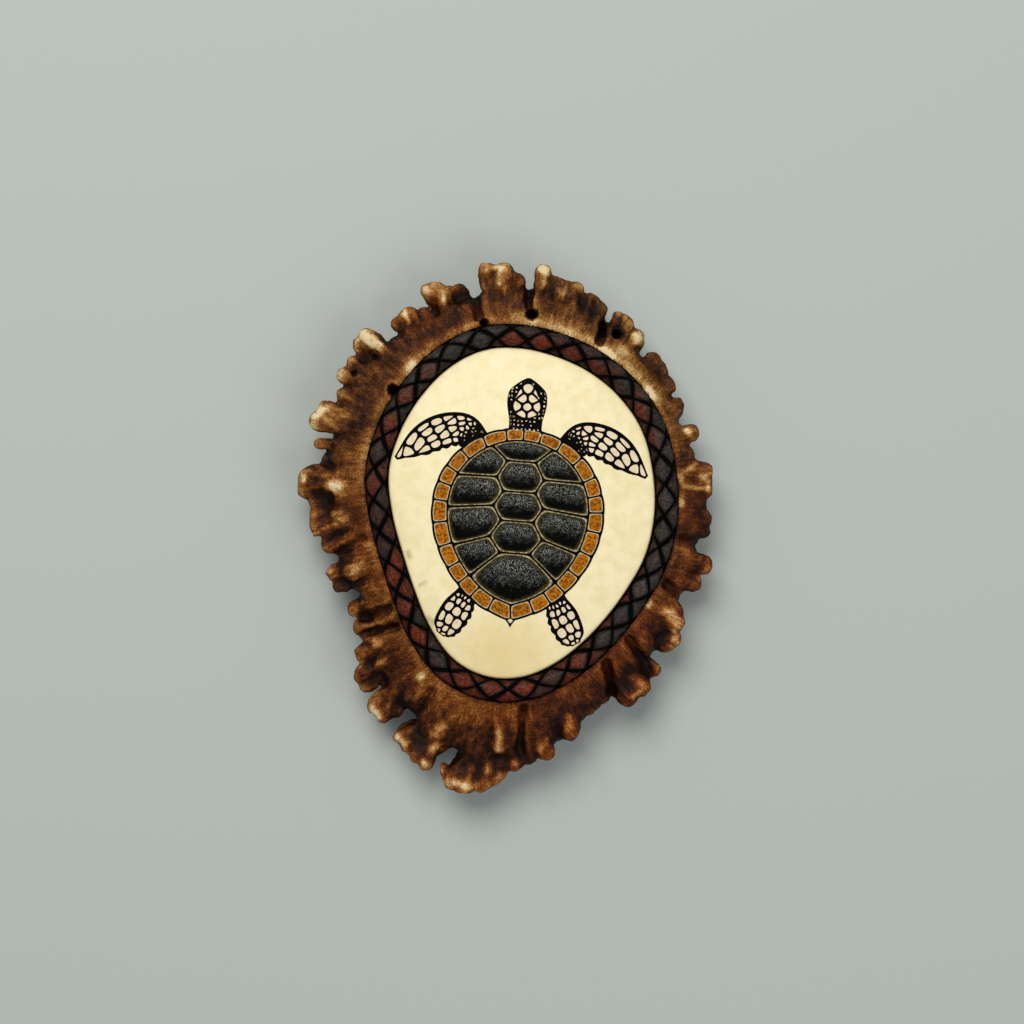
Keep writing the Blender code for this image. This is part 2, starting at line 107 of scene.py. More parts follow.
def points_of(item, kind="co"):
    """The places of the mesh's points as one array, or what else of three numbers they have."""
    points = np.empty(len(item.data.vertices) * 3)
    item.data.vertices.foreach_get(kind, points)
    return points.reshape(-1, 3)


def move_points(item, points):
    item.data.vertices.foreach_set("co", np.ascontiguousarray(points).ravel())
    item.data.update()


def normals_of(item):
    return points_of(item, "normal")


def keep_values(item, **kept_values):
    """Stores numbers for each point of the mesh under these names, for a material to read."""
    for name, values in kept_values.items():
        values = np.full(len(item.data.vertices), values, np.float32)
        item.data.attributes.new(name, "FLOAT", "POINT").data.foreach_set("value", values)


def smoothstep(low, high, values):
    t = np.clip((values - low) / (high - low), 0, 1)
    return t * t * (3 - 2 * t)


def through(a, b, c, d, t):
    """A smooth curve through four values, read between the middle two."""
    return b + 0.5 * t * (c - a + t * (2 * a - 5 * b + 4 * c - d + t * (3 * (b - c) + d - a)))


def height_over_mean(item, rounds):
    """How far each point stands out of its neighbourhood, in metres."""
    ends = np.empty(len(item.data.edges) * 2, int)
    item.data.edges.foreach_get("vertices", ends)
    first, second = ends.reshape(-1, 2).T
    count = len(item.data.vertices)
    links = np.bincount(first, minlength=count) + np.bincount(second, minlength=count)
    start = points_of(item)
    mean = start.copy()
    for _ in range(rounds):
        total = np.stack([np.bincount(first, mean[second, k], count)
                          + np.bincount(second, mean[first, k], count) for k in range(3)], -1)
        mean = 0.5 * mean + 0.5 * total / links[:, None]
    return np.einsum("ij,ij->i", start - mean, normals_of(item))


def count_triangles(item):
    item.data.calc_loop_triangles()
    return len(item.data.loop_triangles)


def switch_to(mode):
    """Goes to the mode EDIT or OBJECT."""
    bpy.ops.object.mode_set(mode=mode)


def dress(piece, material):
    """Gives a piece this material alone."""
    piece.data.materials.clear()
    piece.data.materials.append(material)


# %% [markdown]
# ## The plan of the piece
#
# The face is an egg. Its outline is an ellipse whose radius is read from 24 shares, one every 15
# degrees, and the lace and the rim both follow that outline. These are the same sizes that the
# solid was built from, so what is drawn with them lands where the solid is.

# %% Sizes and outline of the face
FACE_WIDTH, FACE_LENGTH = 46.6 * MM, 57.2 * MM
FACE_CROWN = 2.0 * MM
SLICE_HEIGHT = 13.0 * MM
SEAT_FLOOR = 11.2 * MM
FACE_EDGE = 13.8 * MM
SEAT_WIDTH = 4.3 * MM
FLANGE_WIDTH = 8.5 * MM
RIM_HEIGHT = 7.5 * MM
LACE_WIDTH = 3.7 * MM
LACE_CLEARANCE = 0.3 * MM
LEATHER_SWELL = 0.13 * MM  # real leather fills more of its seat than the solid does
FACE_SHARES = (0.997, 1.020, 1.041, 1.028, 1.010, 1.002, 1.018, 1.045, 1.051, 1.046, 1.043, 1.030,
               0.967, 0.921, 0.925, 0.970, 1.018, 1.021, 0.991, 0.943, 0.905, 0.893, 0.912, 0.961)


def around(shares, angle):
    """Reads a closed ring of equally spaced values at these angles in degrees, smoothly."""
    ring = np.asarray(shares, float)
    place = np.asarray(angle, float) % 360 * len(ring) / 360
    first = np.floor(place).astype(int)
    return through(*(ring[(first + k) % len(ring)] for k in (-1, 0, 1, 2)), place - first)


def face_outline(angle):
    turn = np.radians(angle)
    reach = around(FACE_SHARES, angle)
    return np.stack([FACE_WIDTH / 2 * reach * np.cos(turn), FACE_LENGTH / 2 * reach * np.sin(turn)], -1)


def face_share(x, y):
    """How far out over the face a place lies, from 0 in the middle to 1 on the outline."""
    across, along = x / (FACE_WIDTH / 2), y / (FACE_LENGTH / 2)
    return np.hypot(across, along) / around(FACE_SHARES, np.degrees(np.arctan2(along, across)))


def beyond_face(angle, distance):
    """Points at a distance outside the face's outline, measured square to it."""
    angle = np.asarray(angle, float)
    along = face_outline(angle + 1) - face_outline(angle - 1)
    outward = np.stack([along[..., 1], -along[..., 0]], -1)
    outward /= np.linalg.norm(outward, axis=-1, keepdims=True)
    return face_outline(angle) + np.asarray(distance, float)[..., None] * outward


def on_flange(angle, share):
    """A place on the bark, where share 0 is at the lace's seat and 1 is FLANGE_WIDTH beyond it."""
    return beyond_face(angle, SEAT_WIDTH + np.asarray(share, float) * FLANGE_WIDTH)


OUTLINE_ANGLES = np.arange(0, 360, 0.25)
OUTLINE_POINTS = face_outline(OUTLINE_ANGLES)
outline_tree = kdtree.KDTree(len(OUTLINE_ANGLES))
for number, place in enumerate(OUTLINE_POINTS):
    outline_tree.insert((place[0], place[1], 0), number)
outline_tree.balance()


def whereabouts(points):
    """For each point, its angle round the face and its share of the way out over the flange."""
    found = [outline_tree.find((x, y, 0)) for x, y in points[:, :2]]
    angle = OUTLINE_ANGLES[[hit[1] for hit in found]]
    share = (np.array([hit[2] for hit in found]) - SEAT_WIDTH) / FLANGE_WIDTH
    return angle, share


print("face outline, mm:", np.round(np.ptp(OUTLINE_POINTS, axis=0) / MM, 1))

# %% [markdown]
# ## The bark: a finer blank
#
# The solid is light, with a few thousand triangles. For the bark we take a copy of it, drop its
# back a little, plug the groove that the lace lies in, and let Remesh grow one fine even skin
# around everything. Even faces are what sculpting needs, and the groove and the back are cut again
# afterwards, so that they come out sharp.

# %% Copy the solid, plug it and remesh it
GRAIN = 0.32 * MM
SPARE = 1.5 * MM
PLUG_SIDES = 192

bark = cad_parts["antler_burr"].copy()
bark.data = bark.data.copy()
bark.name = bark.data.name = "burr_bark"
bark.parent = None
for key in list(bark.keys()):
    del bark[key]
put_in_scene(bark)
choose(bark)
switch_to("EDIT")
bpy.ops.mesh.select_all(action="SELECT")
bpy.ops.mesh.remove_doubles(threshold=0.001 * MM)
switch_to("OBJECT")
places = points_of(bark)
places[places[:, 2] < 0.01 * MM, 2] = -SPARE
move_points(bark, places)


def bark_height(place):
    """How high the solid stands under a place of the plan."""
    bpy.context.view_layer.update()
    hit, spot, _, _ = bark.ray_cast(Vector((*place, 1)), Vector((0, 0, -1)))
    return spot.z if hit else SEAT_FLOOR


plug = start_with(bpy.ops.mesh.primitive_cylinder_add, vertices=PLUG_SIDES, depth=2, end_fill_type="TRIFAN")
places = points_of(plug)
ring = np.hypot(*places[:, :2].T) > 0.5
on_lid = places[:, 2] > 0
plug_angles = np.degrees(np.arctan2(places[:, 1], places[:, 0]))
places[ring, :2] = beyond_face(plug_angles[ring], SEAT_WIDTH - 0.05 * MM)
beside = on_flange(plug_angles, 0.05)
heights = np.array([bark_height(place) for place in beside])
places[:, 2] = np.where(on_lid, np.where(ring, heights, heights.mean()), SEAT_FLOOR - 2 * SPARE)
move_points(plug, places)
choose(bark)
plug.select_set(True)
bpy.context.view_layer.objects.active = bark
bpy.ops.object.join()
finish_with(bark, "REMESH", mode="VOXEL", voxel_size=GRAIN)
finish_with(bark, "SMOOTH", factor=0.5, iterations=4)
print("fine blank:", len(bark.data.vertices), "points")

# %% [markdown]
# ## Sculpting the bark
#
# Antler grows under a skin full of blood vessels, which leave it covered in furrows, beads and
# fine ribs that run outwards. By hand these would be sculpting strokes. Here each stroke is a rule
# that moves the points: what already stands out of the blank is raised further, ribs and lumps
# come from noise, and furrows and holes are lowered along a line or round a point.

# %% Ribs and lumps
bark_angle, bark_share = whereabouts(points_of(bark))
RIM_LENGTH = 230 * MM


def noise_at(points, size, seed):
    """Smooth noise from about -1 to 1, with features of this size."""
    scaled = points / size + seed * 17.3
    return np.array([noise.noise(Vector(row)) for row in scaled])


def raise_by(item, heights):
    """Moves every point along its normal."""
    move_points(item, points_of(item) + normals_of(item) * heights[:, None])


def lower_by(item, depths):
    """Moves every point straight down."""
    move_points(item, points_of(item) - depths[:, None] * (0, 0, 1))


# Noise over the way round and a shortened way out makes forms that are long outwards
way_round, way_out = bark_angle / 360 * RIM_LENGTH, bark_share * FLANGE_WIDTH
around_and_out = np.stack([way_round, way_out * 0.22, points_of(bark)[:, 2] * 0.35], -1)
flutes = np.stack([way_round, way_out * 0.30, 0 * way_out], -1)
open_bark = smoothstep(0.0, 0.12, bark_share)
rough_bark = open_bark * (0.35 + 0.65 * smoothstep(0.15, 0.55, bark_share))
under = smoothstep(RIM_HEIGHT, RIM_HEIGHT - 3 * MM, points_of(bark)[:, 2])
for rounds, share in ((160, 0.45), (40, 0.50)):
    relief = np.clip(height_over_mean(bark, rounds), -0.8 * MM, 0.5 * MM)
    raise_by(bark, open_bark * share * relief)
    finish_with(bark, "SMOOTH", factor=0.5, iterations=2)
raise_by(bark, rough_bark * 0.20 * MM * noise_at(around_and_out, 1.1 * MM, 1))  # ribs
raise_by(bark, rough_bark * 0.32 * MM * noise_at(flutes, 3.4 * MM, 12))  # flutes
raise_by(bark, rough_bark * 0.14 * MM * noise_at(points_of(bark), 2.6 * MM, 2))  # lumps
creases = 0.3 - np.abs(noise_at(flutes, 2.6 * MM, 8))
raise_by(bark, rough_bark * smoothstep(0.15, 0.5, bark_share) * 0.26 * MM * creases)
raise_by(bark, rough_bark * 0.16 * MM * noise_at(points_of(bark), 0.9 * MM, 3))  # beads
raise_by(bark, under * 0.45 * MM * noise_at(around_and_out, 2.2 * MM, 4))
print("bark points moved:", len(bark_share))

# %% Furrows
# Each furrow: angle and share of its inner end, then of its outer end, and how deep it is
FURROWS = (
    (213, 0.07, 213.4, 0.77, 0.7), (219.9, 0.09, 218, 0.84, 0.7), (268.8, 0.15, 266.4, 1.04, 0.5),
    (301.9, 0.16, 295.5, 0.78, 0.8), (314.5, 0.19, 310.7, 1.03, 0.7), (339.6, 0.11, 338.1, 0.50, 0.6),
    (62.3, 0.17, 63.7, 0.64, 0.8), (88.8, 0.37, 90.1, 0.78, 0.7), (104.7, 0.17, 104.2, 0.62, 0.5),
    (353.4, 0.12, 353.3, 0.49, 0.5), (185.6, 0.22, 187.6, 0.79, 0.4), (241.1, 0.33, 241.8, 1.08, 0.5),
)
FURROW_WIDTH, FURROW_DEPTH = 0.45 * MM, 0.4 * MM


def beside_line(points, start, end):
    """How far each point lies from the line between two places, as seen from above."""
    run = end - start
    along = np.clip((points[:, :2] - start) @ run / (run @ run), 0, 1)
    return np.linalg.norm(points[:, :2] - start - along[:, None] * run, axis=1)


on_top = smoothstep(RIM_HEIGHT - 1 * MM, RIM_HEIGHT + 1 * MM, points_of(bark)[:, 2])
bends = np.stack([noise_at(points_of(bark), 2.5 * MM, seed) for seed in (5, 6, 7)], -1)
bent_places = points_of(bark) + 0.6 * MM * bends
for angle_in, share_in, angle_out, share_out, depth in FURROWS:
    away = beside_line(bent_places, on_flange(angle_in, share_in), on_flange(angle_out, share_out))
    lower_by(bark, np.exp(-(away / FURROW_WIDTH) ** 2) * on_top * depth * FURROW_DEPTH)
print("furrows:", len(FURROWS))

# %% Blood-vessel holes
# x and y from the middle of the face, radius and depth, all in mm
VESSELS = ((-6.6, 33.7, 0.75, 1.2), (1.8, 35.2, 1.10, 1.2), (-22.5, 21.9, 1.00, 1.2),
           (14.3, 33.4, 0.80, 1.0), (14.2, 32.0, 0.75, 1.0), (17.0, 32.2, 1.25, 0.0),
           (-29.5, 25.0, 0.55, 0.7), (-25.9, 27.9, 0.5, 0.6))


def beside_vessels(points):
    """Yields, for each hole, how far every point lies from its middle, in radii, and its depth."""
    for x, y, radius, depth in VESSELS:
        yield np.hypot(points[:, 0] - x * MM, points[:, 1] - y * MM) / (radius * MM), depth


for away, depth in beside_vessels(points_of(bark)):
    lower_by(bark, depth * MM * smoothstep(1.15, 0.55, away) * on_top)
print("holes:", len(VESSELS))

# %% [markdown]
# ## Cutting the groove and the back
#
# The maker turns a groove for the lace and saws the back flat. A cylinder pressed into the outline
# is the groove's cutter, and Bisect is the saw: it cuts along a plane, drops what is below and fills
# the cut.

# %% Cut the groove and saw the back
GROOVE_SIDES = 360

places = points_of(bark)
for axis in (0, 1, 2):
    low = CAD_LOW[axis] if axis < 2 else -SPARE
    places[:, axis] = np.clip(places[:, axis], low + 0.02 * MM, CAD_HIGH[axis] - 0.02 * MM)
move_points(bark, places)

groove_cutter = start_with(bpy.ops.mesh.primitive_cylinder_add, vertices=GROOVE_SIDES, depth=2)
places = points_of(groove_cutter)
groove_angles = np.degrees(np.arctan2(places[:, 1], places[:, 0]))
rough_edge = np.array([noise.noise(Vector((*row[:2], 0)) * 6) for row in places])
places[:, :2] = beyond_face(groove_angles, SEAT_WIDTH - LEATHER_SWELL + 0.09 * MM * rough_edge)
places[:, 2] = np.where(places[:, 2] > 0, CAD_HIGH.z + 2 * SPARE, SEAT_FLOOR)
move_points(groove_cutter, places)
finish_with(bark, "BOOLEAN", operation="DIFFERENCE", solver="EXACT", object=groove_cutter)
bpy.data.objects.remove(groove_cutter)

choose(bark)
switch_to("EDIT")
bpy.ops.mesh.select_all(action="SELECT")
bpy.ops.mesh.bisect(plane_co=(0, 0, 0), plane_no=(0, 0, 1), use_fill=True, clear_inner=True, threshold=1e-7)
switch_to("OBJECT")
bark_angle, bark_share = whereabouts(points_of(bark))
print("bark after the cuts:", count_triangles(bark), "triangles")

# %% [markdown]
# ## What the bark's colour follows
#
# Old antler is palest where hands and branches have rubbed it, on the tips and crests, and darkest
# in its furrows. Part of that paleness on crests and darkness in hollows and furrows is painted
# light and painted shade, standing in for how the relief is lit. So the mesh is asked how high each
# point stands over the mean of its neighbourhood. That, with the place on the ring, gives one tone
# from dark to cream for each point, and a second value says how red the brown is there.

# %% Measure crests and hollows
fine_crest, middle_crest, broad_crest = (height_over_mean(bark, rounds) for rounds in (4, 16, 60))
print("crests, mm:", np.round(np.percentile(broad_crest, (5, 50, 95)) / MM, 2))

# %% Tone and redness of the bark
# How pale the bark is beside the lace, how pale towards the tips, how worn the tips are, how pale
# the band beside the lace is and how red the brown is, every 30 degrees from the right-hand side
INNER_TONE = (0.34, 0.43, 0.38, 0.35, 0.29, 0.37, 0.36, 0.36, 0.43, 0.35, 0.34, 0.43)
OUTER_TONE = (0.14, 0.17, 0.22, 0.25, 0.25, 0.33, 0.26, 0.24, 0.25, 0.19, 0.13, 0.20)
TIP_WEAR = (0.3, 0.4, 0.4, 0.7, 0.6, 0.8, 0.4, 0.4, 0.5, 0.4, 0.3, 0.7)
BAND_PALENESS = (0.15, 0.40, 0.80, 0.90, 0.65, 0.55, 0.30, 0.10, 0.15, 0.05, 0.05, 0.10)
REDNESS = (0.70, 0.25, 0.15, 0.30, 0.55, 0.30, 0.55, 0.55, 0.60, 0.90, 1.00, 0.80)
# Pale bosses and streaks: x and y of both ends from the middle of the face and radius, all in mm
PALE_SPOTS = (
    (-35.4, 18.0, -31.4, 17.0, 1.8), (-37.0, 15.4, -36.6, 15.2, 0.7), (-33.2, 5.3, -32.3, 5.0, 1.6),
    (-38.4, 6.6, -38.4, 6.2, 0.5), (-34.4, -2.4, -30.9, -0.6, 0.85), (-29.2, -9.3, -28.6, -8.8, 1.7),
    (-25.6, -22.4, -25.3, -22.7, 0.9), (-24.5, -26.0, -24.1, -25.8, 0.8), (-17.8, -28.5, -17.5, -28.2, 0.9),
    (-26.4, -34.0, -25.2, -35.7, 0.6), (-21.8, -39.2, -20.5, -40.4, 0.6), (-15.6, -38.6, -13.8, -37.0, 1.0),
    (-15.9, -41.0, -14.4, -41.1, 0.9), (-17.4, -43.4, -16.9, -44.0, 0.6), (-14.7, -44.6, -14.3, -45.2, 0.6),
    (-12.0, -47.0, -9.6, -47.9, 0.7), (-3.9, -38.4, -4.0, -41.2, 0.9), (-5.9, -44.3, -5.7, -44.6, 0.8),
    (-1.4, -43.6, -1.0, -44.0, 0.6), (3.0, -41.4, 4.3, -39.6, 0.7), (8.3, -35.6, 8.8, -37.2, 0.8),
    (19.7, -28.7, 21.4, -29.9, 0.9), (21.7, -30.4, 19.7, -31.9, 0.5), (25.7, -16.9, 27.0, -18.9, 1.4),
    (27.3, -19.0, 26.8, -21.8, 0.9), (22.3, -15.8, 22.5, -15.6, 0.6), (27.9, 6.8, 28.1, 6.4, 0.9),
    (28.5, 7.4, 30.7, 8.9, 0.6), (31.8, 6.5, 32.3, 6.5, 0.8), (28.6, 5.0, 32.8, 4.7, 0.5),
    (27.9, 2.3, 28.0, 1.9, 0.8), (29.2, 14.8, 29.5, 14.6, 0.7), (22.2, 22.2, 23.0, 21.0, 0.7),
    (17.6, 29.3, 18.4, 28.8, 1.4), (20.4, 31.4, 21.0, 30.2, 1.1), (14.2, 28.2, 15.2, 27.6, 1.5),
    (7.1, 39.4, 7.2, 39.0, 1.0), (3.5, 43.2, 4.1, 42.6, 0.8), (3.8, 41.0, 4.0, 40.6, 0.8),
    (-4.6, 43.6, -3.3, 43.4, 0.6), (-3.9, 43.2, -4.0, 40.8, 0.6), (-13.4, 39.1, -13.5, 38.0, 0.8),
    (-16.8, 39.4, -16.3, 39.2, 0.9), (-20.6, 35.6, -20.0, 34.0, 0.5), (-27.8, 31.4, -25.2, 29.6, 1.2),
    (-19.5, 25.9, -19.2, 26.2, 1.1),
)
# Dark hollows, in the same way: dark patina with painted shade
DARK_SPOTS = (
    (-34.9, 19.7, -34.0, 19.6, 0.8), (-33.2, 15.2, -29.4, 15.6, 0.9), (-27.9, 17.2, -27.7, 15.6, 0.9),
    (-35.2, 12.6, -33.6, 11.4, 1.0), (-34.0, 9.6, -33.8, 9.2, 0.8), (-34.8, 1.4, -31.6, 2.2, 1.1),
    (-33.0, -3.4, -30.2, -2.4, 0.6), (-27.8, -3.2, -27.6, -3.8, 0.8), (-32.4, -12.4, -31.0, -15.0, 1.4),
    (-28.3, -28.0, -26.3, -30.0, 0.9), (-21.6, -32.8, -19.4, -34.8, 1.2), (-23.2, -35.8, -22.4, -36.2, 1.0),
    (-17.8, -36.6, -17.5, -40.4, 1.5), (-15.9, -42.6, -15.4, -43.0, 0.8), (-10.6, -41.8, -9.8, -42.6, 1.8),
    (-4.6, -44.9, -2.7, -44.6, 0.5), (0.2, -37.0, 0.0, -42.6, 0.7), (6.1, -37.4, 6.9, -38.9, 0.8),
    (14.0, -30.0, 14.4, -31.0, 1.4), (16.8, -28.4, 17.2, -31.2, 0.6), (21.7, -25.2, 22.6, -28.2, 0.8),
    (22.6, -19.4, 24.4, -23.2, 0.9), (27.2, -2.6, 30.8, -3.6, 1.0), (28.0, 10.6, 28.4, 10.2, 0.9),
    (17.0, 30.4, 17.6, 30.0, 1.2), (13.9, 31.0, 13.5, 29.4, 0.8), (0.6, 39.8, 0.4, 36.6, 0.8),
    (-8.4, 38.2, -7.6, 39.0, 0.7), (-10.3, 40.6, -10.8, 38.2, 1.3), (-21.4, 33.2, -18.4, 35.4, 0.9),
    (-29.6, 24.6, -30.6, 22.8, 1.6),
)

places = points_of(bark)
facing_up = smoothstep(0.0, 0.75, normals_of(bark)[:, 2])
off_the_cut = smoothstep(0.0, 0.09, bark_share)
beside_lace = np.exp(-(np.clip(bark_share, 0, 9) / 0.25) ** 2)
furthest = np.zeros(180)
np.maximum.at(furthest, (bark_angle // 2).astype(int) % 180, bark_share)
rim_reach = around(np.maximum.reduce([np.roll(furthest, k) for k in range(-3, 4)]), bark_angle)
out_at_tips = smoothstep(0.72, 1.0, bark_share / rim_reach)
outer_part = smoothstep(0.25, 0.75, bark_share)
tone = around(INNER_TONE, bark_angle) * (1 - outer_part) + around(OUTER_TONE, bark_angle) * outer_part
tone += 0.42 * around(BAND_PALENESS, bark_angle) * beside_lace
# Paler on crests and darker in hollows and furrows: partly wear and patina, partly painted light on crests
# and painted shade in hollows
crest_wear_and_shade = 0.17 * np.clip(broad_crest / (0.6 * MM), -1.3, 0.8)
crest_wear_and_shade += 0.11 * np.clip(middle_crest / (0.30 * MM), -1.2, 0.9)
crest_wear_and_shade += 0.07 * np.clip(fine_crest / (0.10 * MM), -1, 1)
tone += off_the_cut * (0.5 + 0.5 * outer_part) * crest_wear_and_shade
# Painted shade: darker on the steep sides, where the bark turns away from facing up
tone -= 0.22 * (1 - facing_up) * off_the_cut
# Painted shade inside the vessel holes
for away, _ in beside_vessels(places):
    tone -= 0.6 * smoothstep(1.25, 0.7, away) * smoothstep(RIM_HEIGHT - 4 * MM, RIM_HEIGHT, places[:, 2])
# Painted shade: the wall of the groove under the lace is dark
tone[bark_share < -0.01] = 0.12


def near_strokes(points, strokes):
    """How near each point is to the nearest of these strokes, from 1 on it to 0."""
    most = np.zeros(len(points))
    for x_in, y_in, x_out, y_out, radius in strokes:
        away = beside_line(points, np.array((x_in, y_in)) * MM, np.array((x_out, y_out + 0.01)) * MM)
        most = np.maximum(most, np.exp(-(away / (radius * MM)) ** 2))
    return most


pale, dark = near_strokes(places, PALE_SPOTS), near_strokes(places, DARK_SPOTS)
tone += 0.42 * around(TIP_WEAR, bark_angle) * out_at_tips * facing_up * (1 - dark)
# Pale bosses and streaks are paler; the dark hollows darker, as dark patina with painted shade
tone += 0.44 * pale - 0.16 * dark
# Painted shade: darker low down, on the underside of the rim
tone -= 0.12 * smoothstep(RIM_HEIGHT, RIM_HEIGHT - 4 * MM, places[:, 2])
keep_values(bark, tone=tone, redness=around(REDNESS, bark_angle))
# Three numbers that only grow slowly outwards, so that noise over them makes streaks that run outwards
turn, rim_radius = np.radians(bark_angle), RIM_LENGTH / (2 * np.pi)
keep_values(bark, east=rim_radius * np.cos(turn), north=rim_radius * np.sin(turn),
            outward=bark_share * FLANGE_WIDTH * 0.28, sawn=smoothstep(0.06 * MM, 0.01 * MM, places[:, 2]))
print("tone, from dark to pale:", np.round(np.percentile(tone, (5, 50, 95)), 2))

# %% [markdown]
# ## Nodes in few words
#
# A material is a chain of nodes. One helper below fills a node's sockets: a number or colour sets
# the socket, and another node's output is linked to it. The others add nodes to the material in
# hand, whose node tree is called tree and whose shader is called shader.

# %% Node helpers
def paint(code):
    """A colour as shown on screen, such as 8a5a2b, as the linear values that shaders use."""
    shown = [int(code[k:k + 2], 16) / 255 for k in (0, 2, 4)]
    return (*[c / 12.92 if c <= 0.04045 else ((c + 0.055) / 1.055) ** 2.4 for c in shown], 1)


def fill(node, **sockets):
    """Fills a node's sockets by name, or i and a number, with values or other nodes' outputs."""
    for name, value in sockets.items():
        numbered = name[0] == "i" and name[1:].isdigit()
        socket = node.inputs[int(name[1:]) if numbered else name.replace("_", " ")]
        if isinstance(value, bpy.types.NodeSocket):
            node.id_data.links.new(value, socket)
        else:
            socket.default_value = value


def add_node(kind, output=0, settings=None, **sockets):
    """Adds a node to the material in hand and returns one of its outputs."""
    node = tree.nodes.new("ShaderNode" + kind)
    for name, value in (settings or {}).items():
        setattr(node, name, value)
    fill(node, **sockets)
    return node.outputs[output]


def new_material(name, roughness=0.5, gloss=0.2):
    material = bpy.data.materials.new(name)
    material.use_nodes = True
    shader = material.node_tree.nodes["Principled BSDF"]
    fill(shader, Roughness=roughness, Specular_IOR_Level=gloss)
    return material, material.node_tree, shader


def math_node(operation, first, second):
    return add_node("Math", 0, {"operation": operation}, i0=first, i1=second)


def times(first, second):
    return math_node("MULTIPLY", first, second)


def swayed(base, pattern, share):
    """The base, raised and lowered by a pattern whose middle is 0.5."""
    return math_node("ADD", base, times(math_node("SUBTRACT", pattern, 0.5), share))


def mixed(share, first, second):
    """A mix of two colours, each a socket or a code."""
    first, second = (paint(colour) if isinstance(colour, str) else colour for colour in (first, second))
    return add_node("Mix", 2, {"data_type": "RGBA"}, i0=share, i6=first, i7=second)


def remapped(value, low, high, to_low=0.0, to_high=1.0):
    return add_node("MapRange", 0, {"interpolation_type": "SMOOTHSTEP"}, Value=value, From_Min=low,
                    From_Max=high, To_Min=to_low, To_Max=to_high)


def ramp(value, stops):
    """A colour for each value, from stops of a place and a code."""
    colour = add_node("ValToRGB", Fac=value)
    bar = colour.node.color_ramp
    while len(bar.elements) < len(stops):
        bar.elements.new(0.5)
    for element, (place, code) in zip(bar.elements, stops):
        element.position = place
        element.color = paint(code)
    return colour


def kept(name):
    """A value that the mesh keeps for each point."""
    return add_node("Attribute", "Fac", {"attribute_name": name})


def own_place():
    """The object's own coordinates, which stay with it wherever it goes."""
    return add_node("TexCoord", "Object")


def grain(size, detail=2.0, rough=0.5, stretch=(1, 1, 1), seed=0.0):
    """Noise with features of this size in metres, over the object's own coordinates."""
    moved = add_node("Mapping", Vector=own_place(), Location=(seed, seed, seed), Scale=stretch)
    return add_node("TexNoise", Vector=moved, Scale=1 / size, Detail=detail, Roughness=rough)


def bump(first, second, depth, strength):
    """Bends the light as if the sum of two patterns stood out of the skin."""
    height = math_node("ADD", first, second)
    fill(shader, Normal=add_node("Bump", Strength=strength, Distance=depth, Height=height))


# %% [markdown]
# ## The bark's finish
#
# Up close the brown isn't even: dark specks of a fifth to half a millimetre sit on an orange tan,
# and faint streaks run outwards. Noise at four sizes is added to the tone that the mesh keeps. Two
# colour ramps, one olive and one red, turn the sum into colour, and the redness mixes them.

# %% Bark material
CORE_REACH = (0.026, 0.031)  # half the width and length of the spongy core on the sawn back, in metres

bark_skin, tree, shader = new_material("bark_skin", 0.55, 0.10)
specks = grain(0.26 * MM, 2, 0.6)
patches = grain(1.6 * MM, 2, 0.5, seed=0.3)
clouds = grain(5.5 * MM, 1, 0.5, seed=0.7)
flow = add_node("CombineXYZ", X=kept("east"), Y=kept("north"), Z=kept("outward"))
streaks = add_node("TexNoise", Vector=flow, Scale=1 / (0.6 * MM), Detail=2.0, Roughness=0.6)
bark_tone = kept("tone")
for pattern, share in ((specks, 0.80), (patches, 0.35), (clouds, 0.65), (streaks, 0.50)):
    bark_tone = swayed(bark_tone, pattern, share)
olive = ramp(bark_tone, ((0.0, "100804"), (0.20, "281507"), (0.40, "4b2d12"), (0.55, "70481e"),
                         (0.70, "957039"), (0.85, "b99663"), (1.0, "dfcda4")))
red = ramp(bark_tone, ((0.0, "140604"), (0.20, "2c1105"), (0.40, "54250a"), (0.55, "7a3d11"),
                       (0.70, "9b6029"), (0.85, "b58957"), (1.0, "dbc399")))
bark_colour = mixed(kept("redness"), olive, red)
pores = grain(0.9 * MM, 3, 0.7, seed=0.9)
sponge = mixed(remapped(pores, 0.40, 0.58), "5b4632", "c9b48a")
flat = add_node("Mapping", Vector=own_place(), Scale=(1 / CORE_REACH[0], 1 / CORE_REACH[1], 0))
out = add_node("VectorMath", "Value", {"operation": "LENGTH"}, i0=flat)
core = remapped(math_node("ADD", out, times(clouds, 0.25)), 0.86, 1.0)
saw_face = mixed(core, sponge, mixed(patches, "bfa577", "ddcba0"))
fill(shader, Base_Color=mixed(kept("sawn"), bark_colour, saw_face))
bump(specks, times(patches, 1.5), 0.12 * MM, 0.7)
choose(bark)
bpy.ops.object.shade_smooth_by_angle(angle=math.radians(50))
dress(bark, bark_skin)
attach(bark, "root")
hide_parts("antler_burr")
print("bark finished, lowest point, mm:", round(points_of(bark)[:, 2].min() / MM, 3))

# %% [markdown]
# ## The polished face
#
# A ball is pressed into the face: its upper part becomes the crowned top, its waist the rounded
# edge and the wall, and its lower part the flat underside that rests on the floor of the seat.
# The top lies a hair under the solid's crown, so that the ink on it stays inside the solid.

# %% Press a ball into the polished face
INK_ROOM = 0.06 * MM
EDGE_ROUNDING = 0.5 * MM
EDGE_SHARE = 1 - EDGE_ROUNDING / (FACE_LENGTH / 2)


def crown_height(x, y):
    """Height of the polished face above the sawn back, for places in metres."""
    return FACE_EDGE + FACE_CROWN * (1 - np.clip(face_share(x, y), 0, 1) ** 2.5) - INK_ROOM


